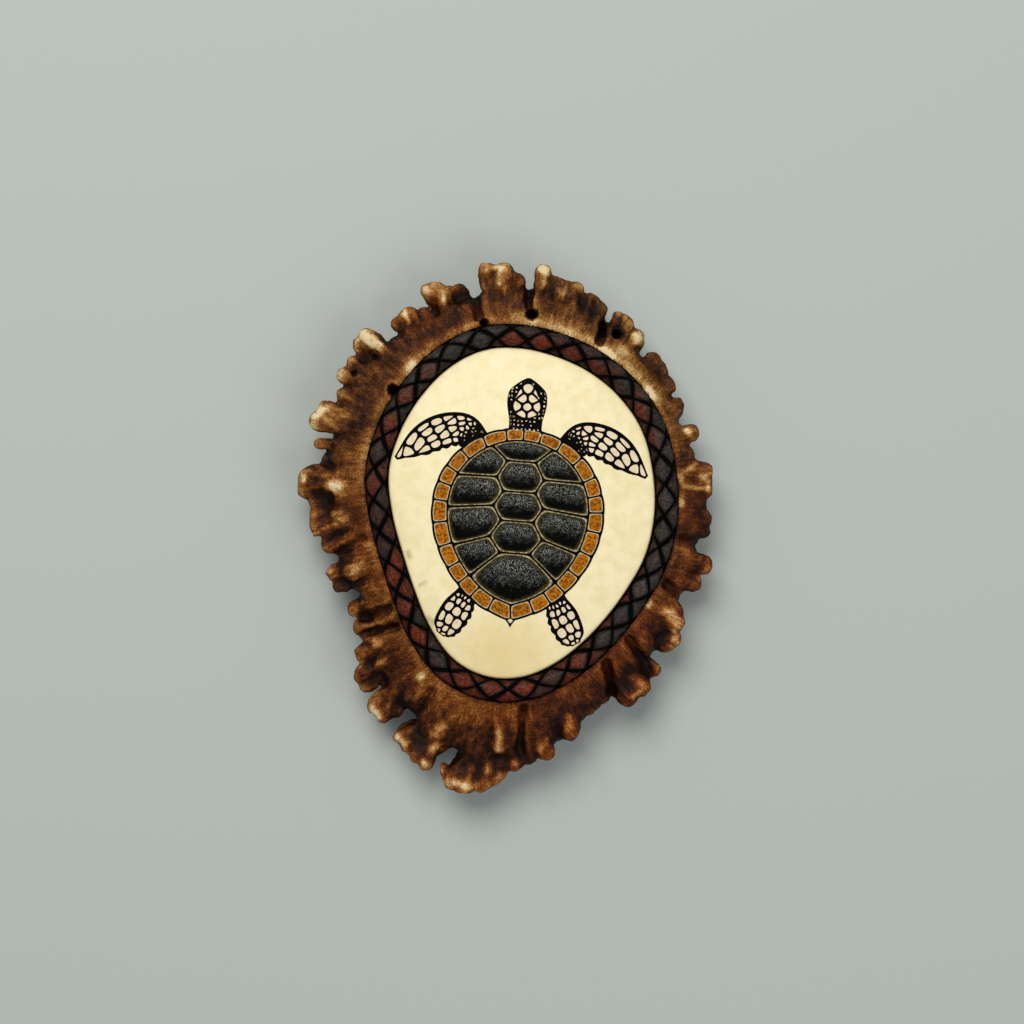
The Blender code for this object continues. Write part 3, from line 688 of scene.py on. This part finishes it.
face = start_with(bpy.ops.mesh.primitive_uv_sphere_add, segments=320, ring_count=126)
face.name = "polished_face"
ball = points_of(face)
ball_angle = np.degrees(np.arctan2(ball[:, 1], ball[:, 0]))
drop = np.degrees(np.arccos(np.clip(ball[:, 2], -1, 1)))
round_turn = np.radians(np.interp(drop, (120, 132), (0, 90)))
share = np.interp(drop, (0, 120, 140, 180), (0, EDGE_SHARE, EDGE_SHARE, 0))
share += (1 - EDGE_SHARE) * np.sin(round_turn) * (drop < 139)
pressed = face_outline(ball_angle) * share[:, None]
height = crown_height(*pressed.T) - EDGE_ROUNDING * (1 - np.cos(round_turn))
height = np.where(drop > 135, SEAT_FLOOR - 0.04 * MM, height)
move_points(face, np.column_stack([pressed, height]))
print("top of the face, mm:", round(height.max() / MM, 2), count_triangles(face), "triangles")

# %% Ivory finish
# The face is warm and even, yellower where the antler's core is near, with a few brown vessel marks
VESSEL_MARKS = ((-19.8, -6.5, -19.6, -7.21, 0.45), (-17.8, -12.3, -16.6, -11.71, 0.26),
                (-16.3, -18.1, -15.2, -18.91, 0.6))
x, y, _ = points_of(face).T
near_core = np.exp(-np.hypot((x + 3 * MM) / (9 * MM), (y + 24 * MM) / (7 * MM)) ** 2)
yellow = 0.75 * near_core + 0.35 * smoothstep(0.05, 0.0, 1 - face_share(x, y))
keep_values(face, yellow=np.clip(yellow, 0, 1), marks=near_strokes(points_of(face), VESSEL_MARKS))

polished_ivory, tree, shader = new_material("polished_ivory", 0.4, 0.3)
cloudy = grain(2.2 * MM, 3, 0.55)
fibres = grain(0.5 * MM, 2, 0.6, seed=0.4)
ivory = mixed(remapped(cloudy, 0.35, 0.68), "f4e9c0", "ecdfb0")
ivory = mixed(times(kept("yellow"), 0.8), ivory, "ddc282")
ivory = mixed(times(remapped(fibres, 0.55, 0.8), 0.25), ivory, "d9c394")
ivory = mixed(times(kept("marks"), 0.6), ivory, "9a7f45")
fill(shader, Base_Color=ivory)
bump(cloudy, fibres, 0.03 * MM, 0.35)
choose(face)
bpy.ops.object.shade_smooth()
dress(face, polished_ivory)
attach(face, "root")
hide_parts("antler_burr")

# %% [markdown]
# ## Four strands of leather
#
# A round braid of four has two strands that wind to the left and two that wind to the right,
# each over one and under the next. Counted in crossings, a strand of one family holds one number
# still while the other runs. Their sum is the way along the lace and their difference the way
# around it, so a ring with its two angles read as those numbers becomes a strand.

# %% Plait the lace
CROSSINGS = 64
# How the lace is rolled in its seat, in degrees, every 30 degrees from the right-hand side
LACE_ROLLS = (21, 24, 35, 35, 14, -6, -30, -34, 8, 18, 10, 20)
# Width of a strand and how far it strays from its even place, in crossings
STRAND_WIDTH, STRAY, STRAY_WAVES = 0.86, 0.06, 19
STRAND_THICKNESS = 0.66 * MM
STRAND_RISE = 0.31 * MM
LACE_RADIUS = LACE_WIDTH / 2 + LEATHER_SWELL - STRAND_RISE - STRAND_THICKNESS / 2
LACE_MIDDLE = SEAT_FLOOR + LACE_CLEARANCE + LACE_WIDTH / 2
# How red the leather is, every 30 degrees from the right-hand side
LEATHER_REDNESS = (0.10, 0.30, 0.65, 0.60, 0.10, 0.42, 0.60, 0.60, 0.50, 0.60, 0.45, 0.20)
# How much redder it is on the side of the face than on the side of the bark
INNER_REDNESS = (0.10, 0.25, 0.30, 0.25, 0.10, 0.0, 0.0, 0.0, -0.1, 0.0, 0.10, 0.10)

lace_angles = 0.25 * np.arange(1441)
lace_steps = np.hypot(*np.diff(beyond_face(lace_angles, SEAT_WIDTH / 2), axis=0).T)
lace_travelled = np.concatenate([[0], np.cumsum(lace_steps)])


def flattened(wave, power=0.6):
    """A wave with flat tops, so that strands lie flat and dive steeply."""
    return np.sign(wave) * np.abs(wave) ** power


def plait(name, family, number):
    strand = start_with(bpy.ops.mesh.primitive_torus_add, major_segments=256, minor_segments=11)
    strand.name = name
    switch_to("EDIT")
    bpy.ops.mesh.subdivide(number_cuts=1)
    switch_to("OBJECT")
    ring = points_of(strand)
    running = (np.arctan2(ring[:, 1], ring[:, 0]) / (2 * np.pi) % 1) * CROSSINGS
    section = np.arctan2(ring[:, 2], np.hypot(ring[:, 0], ring[:, 1]) - 1)
    across, thick = flattened(np.cos(section)), flattened(np.sin(section), 0.55)
    stray = STRAY * np.sin(2 * np.pi * running * STRAY_WAVES / CROSSINGS + 2.4 * number + 1.3 * family)
    still = number + stray + across * STRAND_WIDTH / 2
    rise = family * flattened(np.cos(np.pi * (running - number)))
    along = (running + still) / CROSSINGS
    around_lace = 90 * (still - running) * family
    angle = np.interp(along % 1 * lace_travelled[-1], lace_travelled, lace_angles)
    radius = LACE_RADIUS + STRAND_RISE * rise + STRAND_THICKNESS / 2 * thick * family
    turn = np.radians(around_lace + around(LACE_ROLLS, angle))
    # Pulled tight, the strands cross the top of the lace in straight lines, not in waves
    zigzag = 1 - 2 * np.abs((turn / np.pi + 1) % 2 - 1)
    turn = np.sign(np.sin(turn)) * np.arccos(0.4 * np.cos(turn) + 0.6 * zigzag)
    side = SEAT_WIDTH / 2 + radius * np.cos(turn)
    move_points(strand, np.column_stack([beyond_face(angle, side), LACE_MIDDLE + radius * np.sin(turn)]))
    # One number for each facet, which looks like chance but is the same in each run
    facet = np.floor(running - number + 0.5)
    chance = (np.sin(facet * 12.9898 + number * 78.233 + family * 37.7) * 43758.5453) % 1
    keep_values(strand, rise=rise, across=np.abs(across), on_top=np.sin(turn), chance=chance,
                leather_red=around(LEATHER_REDNESS, angle) - around(INNER_REDNESS, angle) * np.cos(turn))
    return strand


strands = [plait(f"lace_strand_{k + 1}", 1 if k < 2 else -1, k % 2) for k in range(4)]


def signed_volume(item):
    """Positive when the faces of a closed mesh look outwards."""
    item.data.calc_loop_triangles()
    corners = np.empty(len(item.data.loop_triangles) * 3, int)
    item.data.loop_triangles.foreach_get("vertices", corners)
    a, b, c = points_of(item)[corners].reshape(-1, 3, 3).transpose(1, 0, 2)
    return np.einsum("ij,ij->i", a, np.cross(b, c)).sum() / 6


for strand in strands:
    if signed_volume(strand) < 0:
        strand.data.flip_normals()
print("strands, cubic mm:", [round(signed_volume(strand) / MM ** 3) for strand in strands])

# %% Waxed leather
waxed, tree, shader = new_material("waxed_leather", 0.42, 0.10)
creases = grain(0.35 * MM, 3, 0.6)
blotches = grain(0.8 * MM, 3, 0.6, seed=0.2)
rise, across, chance, on_top = (kept(name) for name in ("rise", "across", "chance", "on_top"))
redness = swayed(kept("leather_red"), chance, 0.6)
leather = mixed(remapped(redness, 0.20, 0.65), "423d3a", "6e2a14")
middle = math_node("MINIMUM", remapped(rise, 0.35, 1.0), remapped(across, 1.0, 0.35))
for value, low, high, to_low, to_high, code in (
        (blotches, 0.48, 0.72, 0.0, 0.50, "725a4e"),  # paler grey patches: wear, and painted sheen on the facets
        (creases, 0.36, 0.62, 0.75, 0.0, "0d0807"),  # dark wax in the creases
        (middle, 0.0, 0.8, 0.70, 0.0, "050303"),  # painted shade, darker away from the middle of each facet
        (chance, 0.0, 0.6, 0.40, 0.0, "050303"),  # some facets darker than others
        (on_top, 0.25, 0.90, 0.65, 0.0, "050303")):  # painted shade, darker down the sides of the lace
    leather = mixed(remapped(value, low, high, to_low, to_high), leather, code)
# Black and dull along the strand's edges and where it dives under the next
shade = math_node("MINIMUM", remapped(rise, 0.30, 0.50), remapped(across, 0.97, 0.91))
fill(shader, Base_Color=mixed(shade, "010101", leather))
polish = times(shade, remapped(creases, 0.3, 0.7, 0.64, 0.44))
fill(shader, Roughness=math_node("SUBTRACT", 1.0, polish))
bump(creases, blotches, 0.05 * MM, 0.6)
for strand in strands:
    choose(strand)
    bpy.ops.object.shade_smooth()
    dress(strand, waxed)
    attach(strand, "root")
    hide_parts("leather_braid")
print("lace finished,", sum(count_triangles(strand) for strand in strands), "triangles")

# %% [markdown]
# ## Drawing with coins
#
# The picture is inked line by line into the polished face. Here it is laid in thin slabs that sink
# into the face: black under everything, bare antler over it, then the dark and orange inks. Four
# coins are modelled with operators, by insetting the top of a cylinder. Each mark is a copy of one,
# pressed into the mark's own outline and onto the crown of the face.

# %% Coins and outlines
TURTLE_MIDDLE = np.array((-0.8, -1.4))
TURTLE_LEAN = math.radians(4.4)
INK_DEPTH = 0.10 * MM


def make_coin(sides, insets):
    coin = start_with(bpy.ops.mesh.primitive_cylinder_add, vertices=sides, depth=1)
    switch_to("EDIT")
    bpy.ops.mesh.select_all(action="DESELECT")
    bpy.ops.mesh.select_mode(type="FACE")
    switch_to("OBJECT")
    for polygon in coin.data.polygons:
        polygon.select = polygon.normal.z > 0.5
    switch_to("EDIT")
    for width in insets:
        bpy.ops.mesh.inset(thickness=width, depth=0)
    bpy.ops.mesh.poke()
    bpy.ops.mesh.select_all(action="DESELECT")
    switch_to("OBJECT")
    for polygon in coin.data.polygons:
        polygon.select = polygon.normal.z < -0.5
    switch_to("EDIT")
    bpy.ops.mesh.poke()
    switch_to("OBJECT")
    return coin


def travelled_along(ring):
    """How far each point lies along a closed ring, and last the whole way round."""
    return np.concatenate([[0], np.cumsum(np.hypot(*np.diff(np.vstack([ring, ring[:1]]), axis=0).T))])


def left_of(ring):
    """At each point of a closed ring, the direction square to the left of its run."""
    along = np.roll(ring, -1, 0) - np.roll(ring, 1, 0)
    return np.column_stack([-along[:, 1], along[:, 0]]) / np.hypot(*along.T)[:, None]


def signed_area(ring):
    """The area inside a ring of points, positive when it runs counter-clockwise."""
    x, y = ring.T
    return (x * np.roll(y, -1) - y * np.roll(x, -1)).sum() / 2


def area_of(ring):
    return abs(signed_area(ring))


def read_ring(ring, marks, stops):
    """Places on a closed ring at these stops, where the marks number its points and its end."""
    closed = np.vstack([ring, ring[:1]])
    return np.column_stack([np.interp(stops, marks, closed[:, k]) for k in (0, 1)])


def ring_of(corners, count, rounding, inset):
    """An even ring of points through these corners, counter-clockwise, softened and drawn in."""
    corners = np.asarray(corners, float)
    if signed_area(corners) < 0:
        corners = corners[::-1]
    travelled = travelled_along(corners)
    ring = read_ring(corners, travelled, np.arange(count) * travelled[-1] / count)
    for _ in range(rounding):
        ring = 0.5 * ring + 0.25 * (np.roll(ring, 1, 0) + np.roll(ring, -1, 0))
    return ring + inset * left_of(ring)


def onto_face(places, lift):
    """Carries places of the picture, in mm, to the crown of the face, in metres."""
    x, y = places.T
    cos, sin = math.cos(TURTLE_LEAN), math.sin(TURTLE_LEAN)
    flat = (np.column_stack([x * cos + y * sin, y * cos - x * sin]) + TURTLE_MIDDLE) * MM
    return np.column_stack([flat, crown_height(*flat.T) + lift])


def press(sides, corners, rounding, inset, lift, rim=0.0):
    """A copy of a coin in this outline, its top lifted and its underside sunk into the face."""
    coin, ring = coins[sides], ring_of(corners, sides, rounding, inset)
    mark = bpy.data.objects.new("mark", coin.data.copy())
    put_in_scene(mark)
    points = points_of(coin)
    reach = np.clip(np.hypot(points[:, 0], points[:, 1]), 0, 1)
    turn = np.arctan2(points[:, 1], points[:, 0]) / (2 * np.pi) % 1
    index = np.round(turn * len(ring)).astype(int) % len(ring)
    middle = ring.mean(0)
    places = middle + reach[:, None] * (ring[index] - middle)
    move_points(mark, onto_face(places, np.where(points[:, 2] > 0, lift, -INK_DEPTH)))
    upper = (places[:, 1] - middle[1]) / (0.5 * np.ptp(ring[:, 1]))
    keep_values(mark, reach=reach, upper=upper, chance=random.random(), rim=rim)
    return mark


def merge(marks, name, material):
    """Joins the marks to one piece of the picture."""
    choose(marks[0])
    for mark in marks:
        mark.select_set(True)
    bpy.ops.object.join()
    piece = bpy.context.object
    piece.name = name
    dress(piece, material)
    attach(piece, "root")
    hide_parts("antler_burr")
    print(name, count_triangles(piece), "triangles")


# The coins by their number of sides: for scales, plates, scutes and the black grounds
coins = {sides: make_coin(sides, insets) for sides, insets in (
    (20, (0.3,)), (28, (0.14, 0.2, 0.25)), (72, (0.06, 0.09, 0.14, 0.18, 0.2)), (160, (0.09,) * 9))}
BLACK_LIFT, BARE_LIFT, INK_LIFT = 0.020 * MM, 0.035 * MM, 0.050 * MM
black_marks, bare_marks, scute_marks, plate_marks = [], [], [], []
random.seed(5)  # each mark gets a number by chance, the same in each run

# %% [markdown]
# ## The shell
#
# A sea turtle's shell has five scutes down the middle, four on each side and a ring of small
# plates around them. Their corners are worked out in millimetres, with the head upwards.

# %% Shell, scutes and plates
SHELL_HALF_WIDTH, SHELL_HALF_LENGTH = 14.8, 16.4
PLATE_RING = 2.6
PLATES = 26
RING_NARROWING = 0.22
SEAMS = ((2.5, 10.7), (2.8, 5.4), (2.8, 0.3), (2.6, -5.3))
SIDE_CORNERS = ((4.1, 7.8), (4.35, 2.8), (4.6, -2.6))
SIDE_SEAM_ENDS = (13.2, 7.7, 1.9, -4.6, -9.8)

turns = np.radians(np.arange(720) / 2)
lengthwise = np.cos(turns)
shell = np.column_stack([SHELL_HALF_WIDTH * np.sin(turns) * (1 + 0.13 * lengthwise - 0.05 * lengthwise ** 2),
                         SHELL_HALF_LENGTH * lengthwise])
shell[:, 1] -= 0.5 * np.exp(-(np.sin(turns) / 0.12) ** 2) * (lengthwise < 0)
outward = left_of(shell)  # the shell's outline runs clockwise
scute_edge = shell - PLATE_RING * (1 - RING_NARROWING * np.clip(lengthwise, -0.4, 1) ** 2)[:, None] * outward
lengths = travelled_along(shell)
bulges = np.abs(np.sin(np.pi * PLATES * lengths[:-1] / lengths[-1])) ** 0.6
shell = shell + 0.16 * (bulges - 0.7)[:, None] * outward


def edge_between(top, bottom):
    """The right-hand edge of the scutes between two heights, from the top down."""
    right = scute_edge[:361]
    heights = right[:, 1]
    return right[(heights <= top) & (heights >= bottom)]


def mirrored(places):
    return np.asarray(places)[::-1] * (-1, 1)


def both_sides(places):
    """A closed outline from its right half, listed from the top down."""
    return np.vstack([places, mirrored(places)])


ends = SIDE_SEAM_ENDS
scutes = [both_sides(np.vstack([edge_between(99, ends[0]), [SEAMS[0]]]))]
for k in range(3):
    scutes.append(both_sides([SEAMS[k], SIDE_CORNERS[k], SEAMS[k + 1]]))
scutes.append(both_sides(np.vstack([[SEAMS[3]], edge_between(ends[4], -99)])))
inner = ((SEAMS[0],), (SEAMS[0], SIDE_CORNERS[0], SEAMS[1]), (SEAMS[1], SIDE_CORNERS[1], SEAMS[2]),
         (SEAMS[2], SIDE_CORNERS[2], SEAMS[3]), (SEAMS[3],))
for k in range(4):
    lower = inner[k + 1][:2] if k < 3 else inner[4]
    upper = inner[k][1:] if k else inner[0]
    rib = np.vstack([edge_between(ends[k], ends[k + 1]), lower[::-1], upper[::-1]])
    scutes += [rib, mirrored(rib)]

black_marks.append(press(160, shell, 0, -0.22, BLACK_LIFT))
for scute in scutes:
    bare_marks.append(press(72, scute, 3, 0.16, BARE_LIFT, 1.0))
    scute_marks.append(press(72, scute, 12, 0.30, INK_LIFT))

numbers = np.arange(PLATES + 1)
plate_ends = numbers + 0.16 * np.sin(5.1 * numbers) * (numbers % PLATES > 0)
marks = np.arange(len(lengths))
seam_places = np.interp(plate_ends * lengths[-1] / PLATES, lengths, marks)
for start, stop in zip(seam_places, seam_places[1:]):
    stops = np.linspace(start, stop, 8)
    plate = np.vstack([read_ring(shell, marks, stops), read_ring(scute_edge, marks, stops)[::-1]])
    bare_marks.append(press(28, plate, 1, 0.16, BARE_LIFT, 0.6))
    plate_marks.append(press(28, plate, 3, 0.27, INK_LIFT))
print(len(scutes), "scutes and", PLATES, "plates")

# %% [markdown]
# ## Flippers and head
#
# A limb is a blade along a bent spine. Its scales are the cells of seeds strewn over it, each cut
# off halfway to its neighbours, smaller near the shell and longer towards the tip.

# %% Blades and their cells
LIMB_LINE = 0.20  # half the width of the black lines between the scales, in mm
random.seed(11)


def along_spine(stations, share):
    """Reads a row of stations at shares from 0 to 1, smoothly."""
    row = np.asarray(stations, float)
    row = np.vstack([2 * row[0] - row[1], row, 2 * row[-1] - row[-2]])
    place = np.clip(np.asarray(share, float), 0, 1) * (len(row) - 3)
    first = np.minimum(place.astype(int), len(row) - 4)
    return through(*(row[first + k] for k in range(4)), (place - first)[..., None])


def on_blade(stations, share, across):
    """A place on the blade, for a share of its length and -1 to 1 across it."""
    share = np.asarray(share, float)
    here = along_spine(stations, share)
    ahead, behind = (along_spine(stations, np.clip(share + by, 0, 1))[..., :2] for by in (0.01, -0.01))
    step = ahead - behind
    step = step / np.hypot(step[..., 0], step[..., 1])[..., None]
    side = np.stack([-step[..., 1], step[..., 0]], -1)
    return here[..., :2] + side * (np.asarray(across) * here[..., 2] / 2)[..., None]


def blade_outline(stations, trailing, leading):
    shares = np.linspace(0, 1, 40)
    return np.vstack([on_blade(stations, shares, np.full(40, leading)),
                      on_blade(stations, shares[::-1], np.full(40, trailing))])


def cells_of(outline, seeds, reach=4.0):
    """Cuts the outline into one cell for each seed, by the lines halfway between seeds."""
    cells = []
    for k, seed in enumerate(seeds):
        cell = [np.array(place) for place in outline]
        for other in np.delete(seeds, k, 0):
            if np.hypot(*(other - seed)) > reach:
                continue
            middle, aim = (seed + other) / 2, other - seed
            sides = [np.dot(place - middle, aim) for place in cell]
            cut = []
            for a, b, side_a, side_b in zip(cell, cell[1:] + cell[:1], sides, sides[1:] + sides[:1]):
                if side_a <= 0:
                    cut.append(a)
                if side_a * side_b < 0:
                    cut.append(a + (b - a) * side_a / (side_a - side_b))
            cell = cut
        cells.append(np.array(cell))
    return cells


def beyond_shell(ring, gap=0.12):
    """Whether the whole ring keeps this gap to the shell."""
    near = np.hypot(ring[:, None, 0] - shell[None, ::6, 0], ring[:, None, 1] - shell[None, ::6, 1])
    nearest = near.argmin(1)
    outside = ((ring - shell[::6][nearest]) * outward[::6][nearest]).sum(1)
    return outside.min() > gap


def add_limb(stations, columns, flip, shear=0.0):
    """A limb: black ground with bare scales, whose lines are thick near the shell."""
    outline = blade_outline(stations, -0.95, 0.86)
    seeds, lines = [], []
    for column, (share, count) in enumerate(columns):
        for r in range(count):
            across = (2 * r + 0.75 + 0.5 * (column % 2)) / count - 1 + random.uniform(-0.08, 0.08)
            shift = share + shear * across + random.uniform(-0.015, 0.015)
            seeds.append(on_blade(stations, np.clip(shift, 0, 1), across * 0.92 - 0.04))
            lines.append(LIMB_LINE * (1.08 - 0.30 * min(share / 0.6, 1)))
    black_marks.append(press_blade(stations, flip))
    for cell, width in zip(cells_of(outline, np.array(seeds)), lines):
        if len(cell) < 3 or area_of(cell) < 0.12:
            continue
        ring = ring_of(cell, 20, 4, width)
        if 0.02 < area_of(ring) < area_of(cell) and beyond_shell(ring):
            dimness = 0.55 if area_of(ring) < 0.12 else 0.0
            bare_marks.append(press(20, cell * flip, 4, width, BARE_LIFT, dimness))


def press_blade(stations, flip):
    """The black ground of a limb: a grid with a thickness, laid along the spine."""
    blade = start_with(bpy.ops.mesh.primitive_grid_add, x_subdivisions=36, y_subdivisions=6)
    finish_with(blade, "SOLIDIFY", thickness=1, offset=-1)
    points = points_of(blade)
    grown = np.array(stations, float)
    grown[:, 2] += 0.2
    frill = np.where(points[:, 1] < -0.99, 0.15 * np.abs(np.sin(9.5 * np.pi * (points[:, 0] + 1) / 2)), 0)
    places = on_blade(grown, (points[:, 0] + 1) / 2, points[:, 1] - frill) * flip
    move_points(blade, onto_face(places, np.where(points[:, 2] > -0.5, BLACK_LIFT, -INK_DEPTH)))
    if flip[0] < 0:
        blade.data.flip_normals()
    keep_values(blade, reach=1, upper=1, chance=1, rim=1)
    return blade


# Each station of a spine is a place and the width there, in mm; each column of scales is the share of
# the spine where it lies and how many scales it has
FRONT_FLIPPER = ((7.0, 12.4, 4.0), (8.3, 13.9, 4.6), (10.6, 15.7, 5.2), (14.6, 15.0, 5.6),
                 (18.2, 12.8, 4.6), (22.0, 9.7, 0.5))
HIND_FLIPPER = ((7.2, -11.6, 3.2), (7.9, -13.2, 3.6), (9.4, -15.9, 5.0), (11.2, -19.1, 4.2),
                (12.0, -20.3, 1.2))
FRONT_COLUMNS = ((0.06, 7), (0.09, 7), (0.12, 7), (0.15, 7), (0.18, 8), (0.21, 8), (0.24, 8), (0.27, 8),
                 (0.30, 7), (0.34, 6), (0.40, 5), (0.48, 5), (0.58, 4), (0.69, 4), (0.81, 3), (0.92, 2))
HIND_COLUMNS = ((0.04, 6), (0.10, 6), (0.16, 6), (0.22, 6), (0.29, 5), (0.38, 4), (0.50, 3), (0.64, 3),
                (0.79, 3), (0.92, 2))
for flip in ((1, 1), (-1, 1)):
    add_limb(FRONT_FLIPPER, FRONT_COLUMNS, flip, 0.03)
    add_limb(HIND_FLIPPER, HIND_COLUMNS, flip)

# %% Head and tail
HEAD_STATIONS = ((3.1, 15.0), (2.8, 16.6), (2.85, 18.0), (3.2, 19.4), (3.45, 20.8), (3.4, 22.2), (3.1, 23.2),
                 (2.0, 24.2), (0.9, 25.0), (0.1, 25.4))
head = both_sides(HEAD_STATIONS[::-1]) + (0.17, 0)
black_marks.append(press(160, head, 4, -0.05, BLACK_LIFT))
HEAD_SEEDS = ((0, 23.5), (-0.9, 21.7), (1.0, 21.8), (0.1, 20.2), (-1.75, 20.3), (1.85, 20.4),
              (-0.8, 18.9), (0.9, 19.0), (-1.7, 22.6), (1.75, 22.7))
CROWN_STATIONS = ((0.0, 24.6), (0.8, 24.3), (1.6, 23.2), (2.2, 21.8), (2.6, 20.2), (1.9, 18.8), (0.5, 18.2))
crown_patch = both_sides(CROWN_STATIONS)
for cell in cells_of(crown_patch, np.array(HEAD_SEEDS)):
    if area_of(ring_of(cell + (0.17, 0), 20, 2, 0.21)) > 0.1:
        bare_marks.append(press(20, cell + (0.17, 0), 2, 0.21, BARE_LIFT))
neck_seeds = [(x + random.uniform(-0.12, 0.12), y + random.uniform(-0.12, 0.12))
              for y in np.arange(15.6, 25.2, 0.72) for x in np.arange(-3.3, 3.4, 0.72)]
for cell in cells_of(head, np.array(neck_seeds), 1.6):
    if len(cell) > 2 and area_of(cell) > 0.25:
        x, y = cell.mean(0)
        on_crown = y > 18.3 and abs(x) < min(2.6, 2.9 - abs(y - 20.8) * 0.55)
        if not on_crown and random.random() < 0.75:
            bare_marks.append(press(20, cell, 2, 0.25, BARE_LIFT))
tail = np.array(((-1.5, -16.1), (1.5, -16.1), (0.5, -17.6), (0.15, -18.3), (-0.2, -17.6)))
black_marks.append(press(20, tail, 0, 0, BLACK_LIFT))
tail_scale = ((-0.35, -17.0), (0.15, -16.65), (0.6, -17.0), (0.15, -17.5))
bare_marks.append(press(20, tail_scale, 0, 0, BARE_LIFT))
print("marks:", [len(marks) for marks in (black_marks, bare_marks, scute_marks, plate_marks)])

# %% Inks
black_ink, tree, shader = new_material("black_ink", 0.6, 0.03)
fill(shader, Base_Color=paint("050404"))

bare_antler, tree, shader = new_material("bare_antler", 0.5, 0.2)
toned = grain(0.5 * MM, 2, 0.5)
bare = mixed(remapped(toned, 0.35, 0.75), "ead9bc", "d6c4a0")
rims = mixed(remapped(toned, 0.35, 0.65), "b3a67c", "6a6040")
fill(shader, Base_Color=mixed(kept("rim"), bare, rims))

scute_ink, tree, shader = new_material("scute_ink", 0.55, 0.04)
stipple = grain(0.15 * MM, 1, 0.5, stretch=(1, 0.6, 1))
stipple_patch = grain(0.8 * MM, 3, 0.6, seed=0.5)
height_here = swayed(kept("upper"), stipple_patch, 1.6)
reach = kept("reach")
glow = times(remapped(height_here, -0.5, 0.7), remapped(reach, 1.02, 0.70))
dots = times(remapped(stipple, 0.45, 0.66), glow)
near_rim = remapped(math_node("ADD", reach, times(stipple_patch, 0.25)), 0.96, 1.16)
scute_ground = mixed(near_rim, "020202", "43391d")
fill(shader, Base_Color=mixed(dots, scute_ground, "85867f"))

orange_ink, tree, shader = new_material("orange_ink", 0.55, 0.08)
warm_spots = grain(0.45 * MM, 2, 0.6, seed=0.1)
orange = mixed(remapped(warm_spots, 0.40, 0.62), "b87009", "6c3a02")
pale_edge = times(remapped(kept("reach"), 0.85, 1.0), 0.25)
orange = mixed(pale_edge, orange, "d2a048")
fill(shader, Base_Color=mixed(times(kept("chance"), 0.25), orange, "6f4208"))

merge(black_marks, "turtle_lines", black_ink)
merge(bare_marks, "turtle_bare_antler", bare_antler)
merge(scute_marks, "shell_scutes", scute_ink)
merge(plate_marks, "shell_plates", orange_ink)
for coin in coins.values():
    bpy.data.objects.remove(coin)

# %% [markdown]
# ## Floor, light and camera
#
# The piece lies on its sawn back, so the camera looks straight down on it.

# %% Floor, light and camera
IMAGE_SIDE = 179.2 * MM
IMAGE_MIDDLE = (-1.66 * MM, 0.53 * MM)
LENS, SENSOR = 85, 36

floor = start_with(bpy.ops.mesh.primitive_plane_add, size=4)
floor.name = "studio_floor"
floor_paint, tree, shader = new_material("floor_paint", 0.85)
fill(shader, Base_Color=paint("b3bbba"))
floor.data.materials.append(floor_paint)
floor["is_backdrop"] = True


def add_lamp(name, place, aim, size, power, colour):
    data = bpy.data.lights.new(name, "AREA")
    data.shape = "DISK"
    data.size = size
    data.energy = power
    data.color = paint(colour)[:3]
    lamp = bpy.data.objects.new(name, data)
    put_in_scene(lamp)
    lamp.location = place
    lamp.rotation_euler = (Vector(aim) - Vector(place)).to_track_quat("-Z", "Y").to_euler()


add_lamp("key_light", (-0.16, 0.44, 0.70), (0, 0, 0), 0.56, 5.6, "fffaf2")
add_lamp("fill_light", (0.50, -0.45, 0.70), (0, 0, 0), 0.7, 2.6, "fafaf5")
world = bpy.data.worlds.new("soft_room")
bpy.context.scene.world = world
world.use_nodes = True
world.node_tree.nodes["Background"].inputs[0].default_value = paint("eef0ee")
world.node_tree.nodes["Background"].inputs[1].default_value = 0.31

eye = bpy.data.cameras.new("eye")
eye.lens, eye.sensor_width = LENS, SENSOR
camera = bpy.data.objects.new("eye", eye)
put_in_scene(camera)
camera.location = (*IMAGE_MIDDLE, IMAGE_SIDE * LENS / SENSOR + SLICE_HEIGHT)
bpy.context.scene.camera = camera
bpy.context.scene.view_settings.view_transform = "Standard"
print("camera height, mm:", round(camera.location.z / MM))

# %% [markdown]
# ## Sizes and the last line
#
# The dressed piece's sizes are printed, beside the solid model's printed at the start; the bark was clipped
# to the solid's box before its cuts. The dressed piece has to stay inside the solid model's box.

# %% Print the sizes and finish
low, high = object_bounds()
print("dressed piece, mm:", [round(side / MM, 1) for side in high - low])
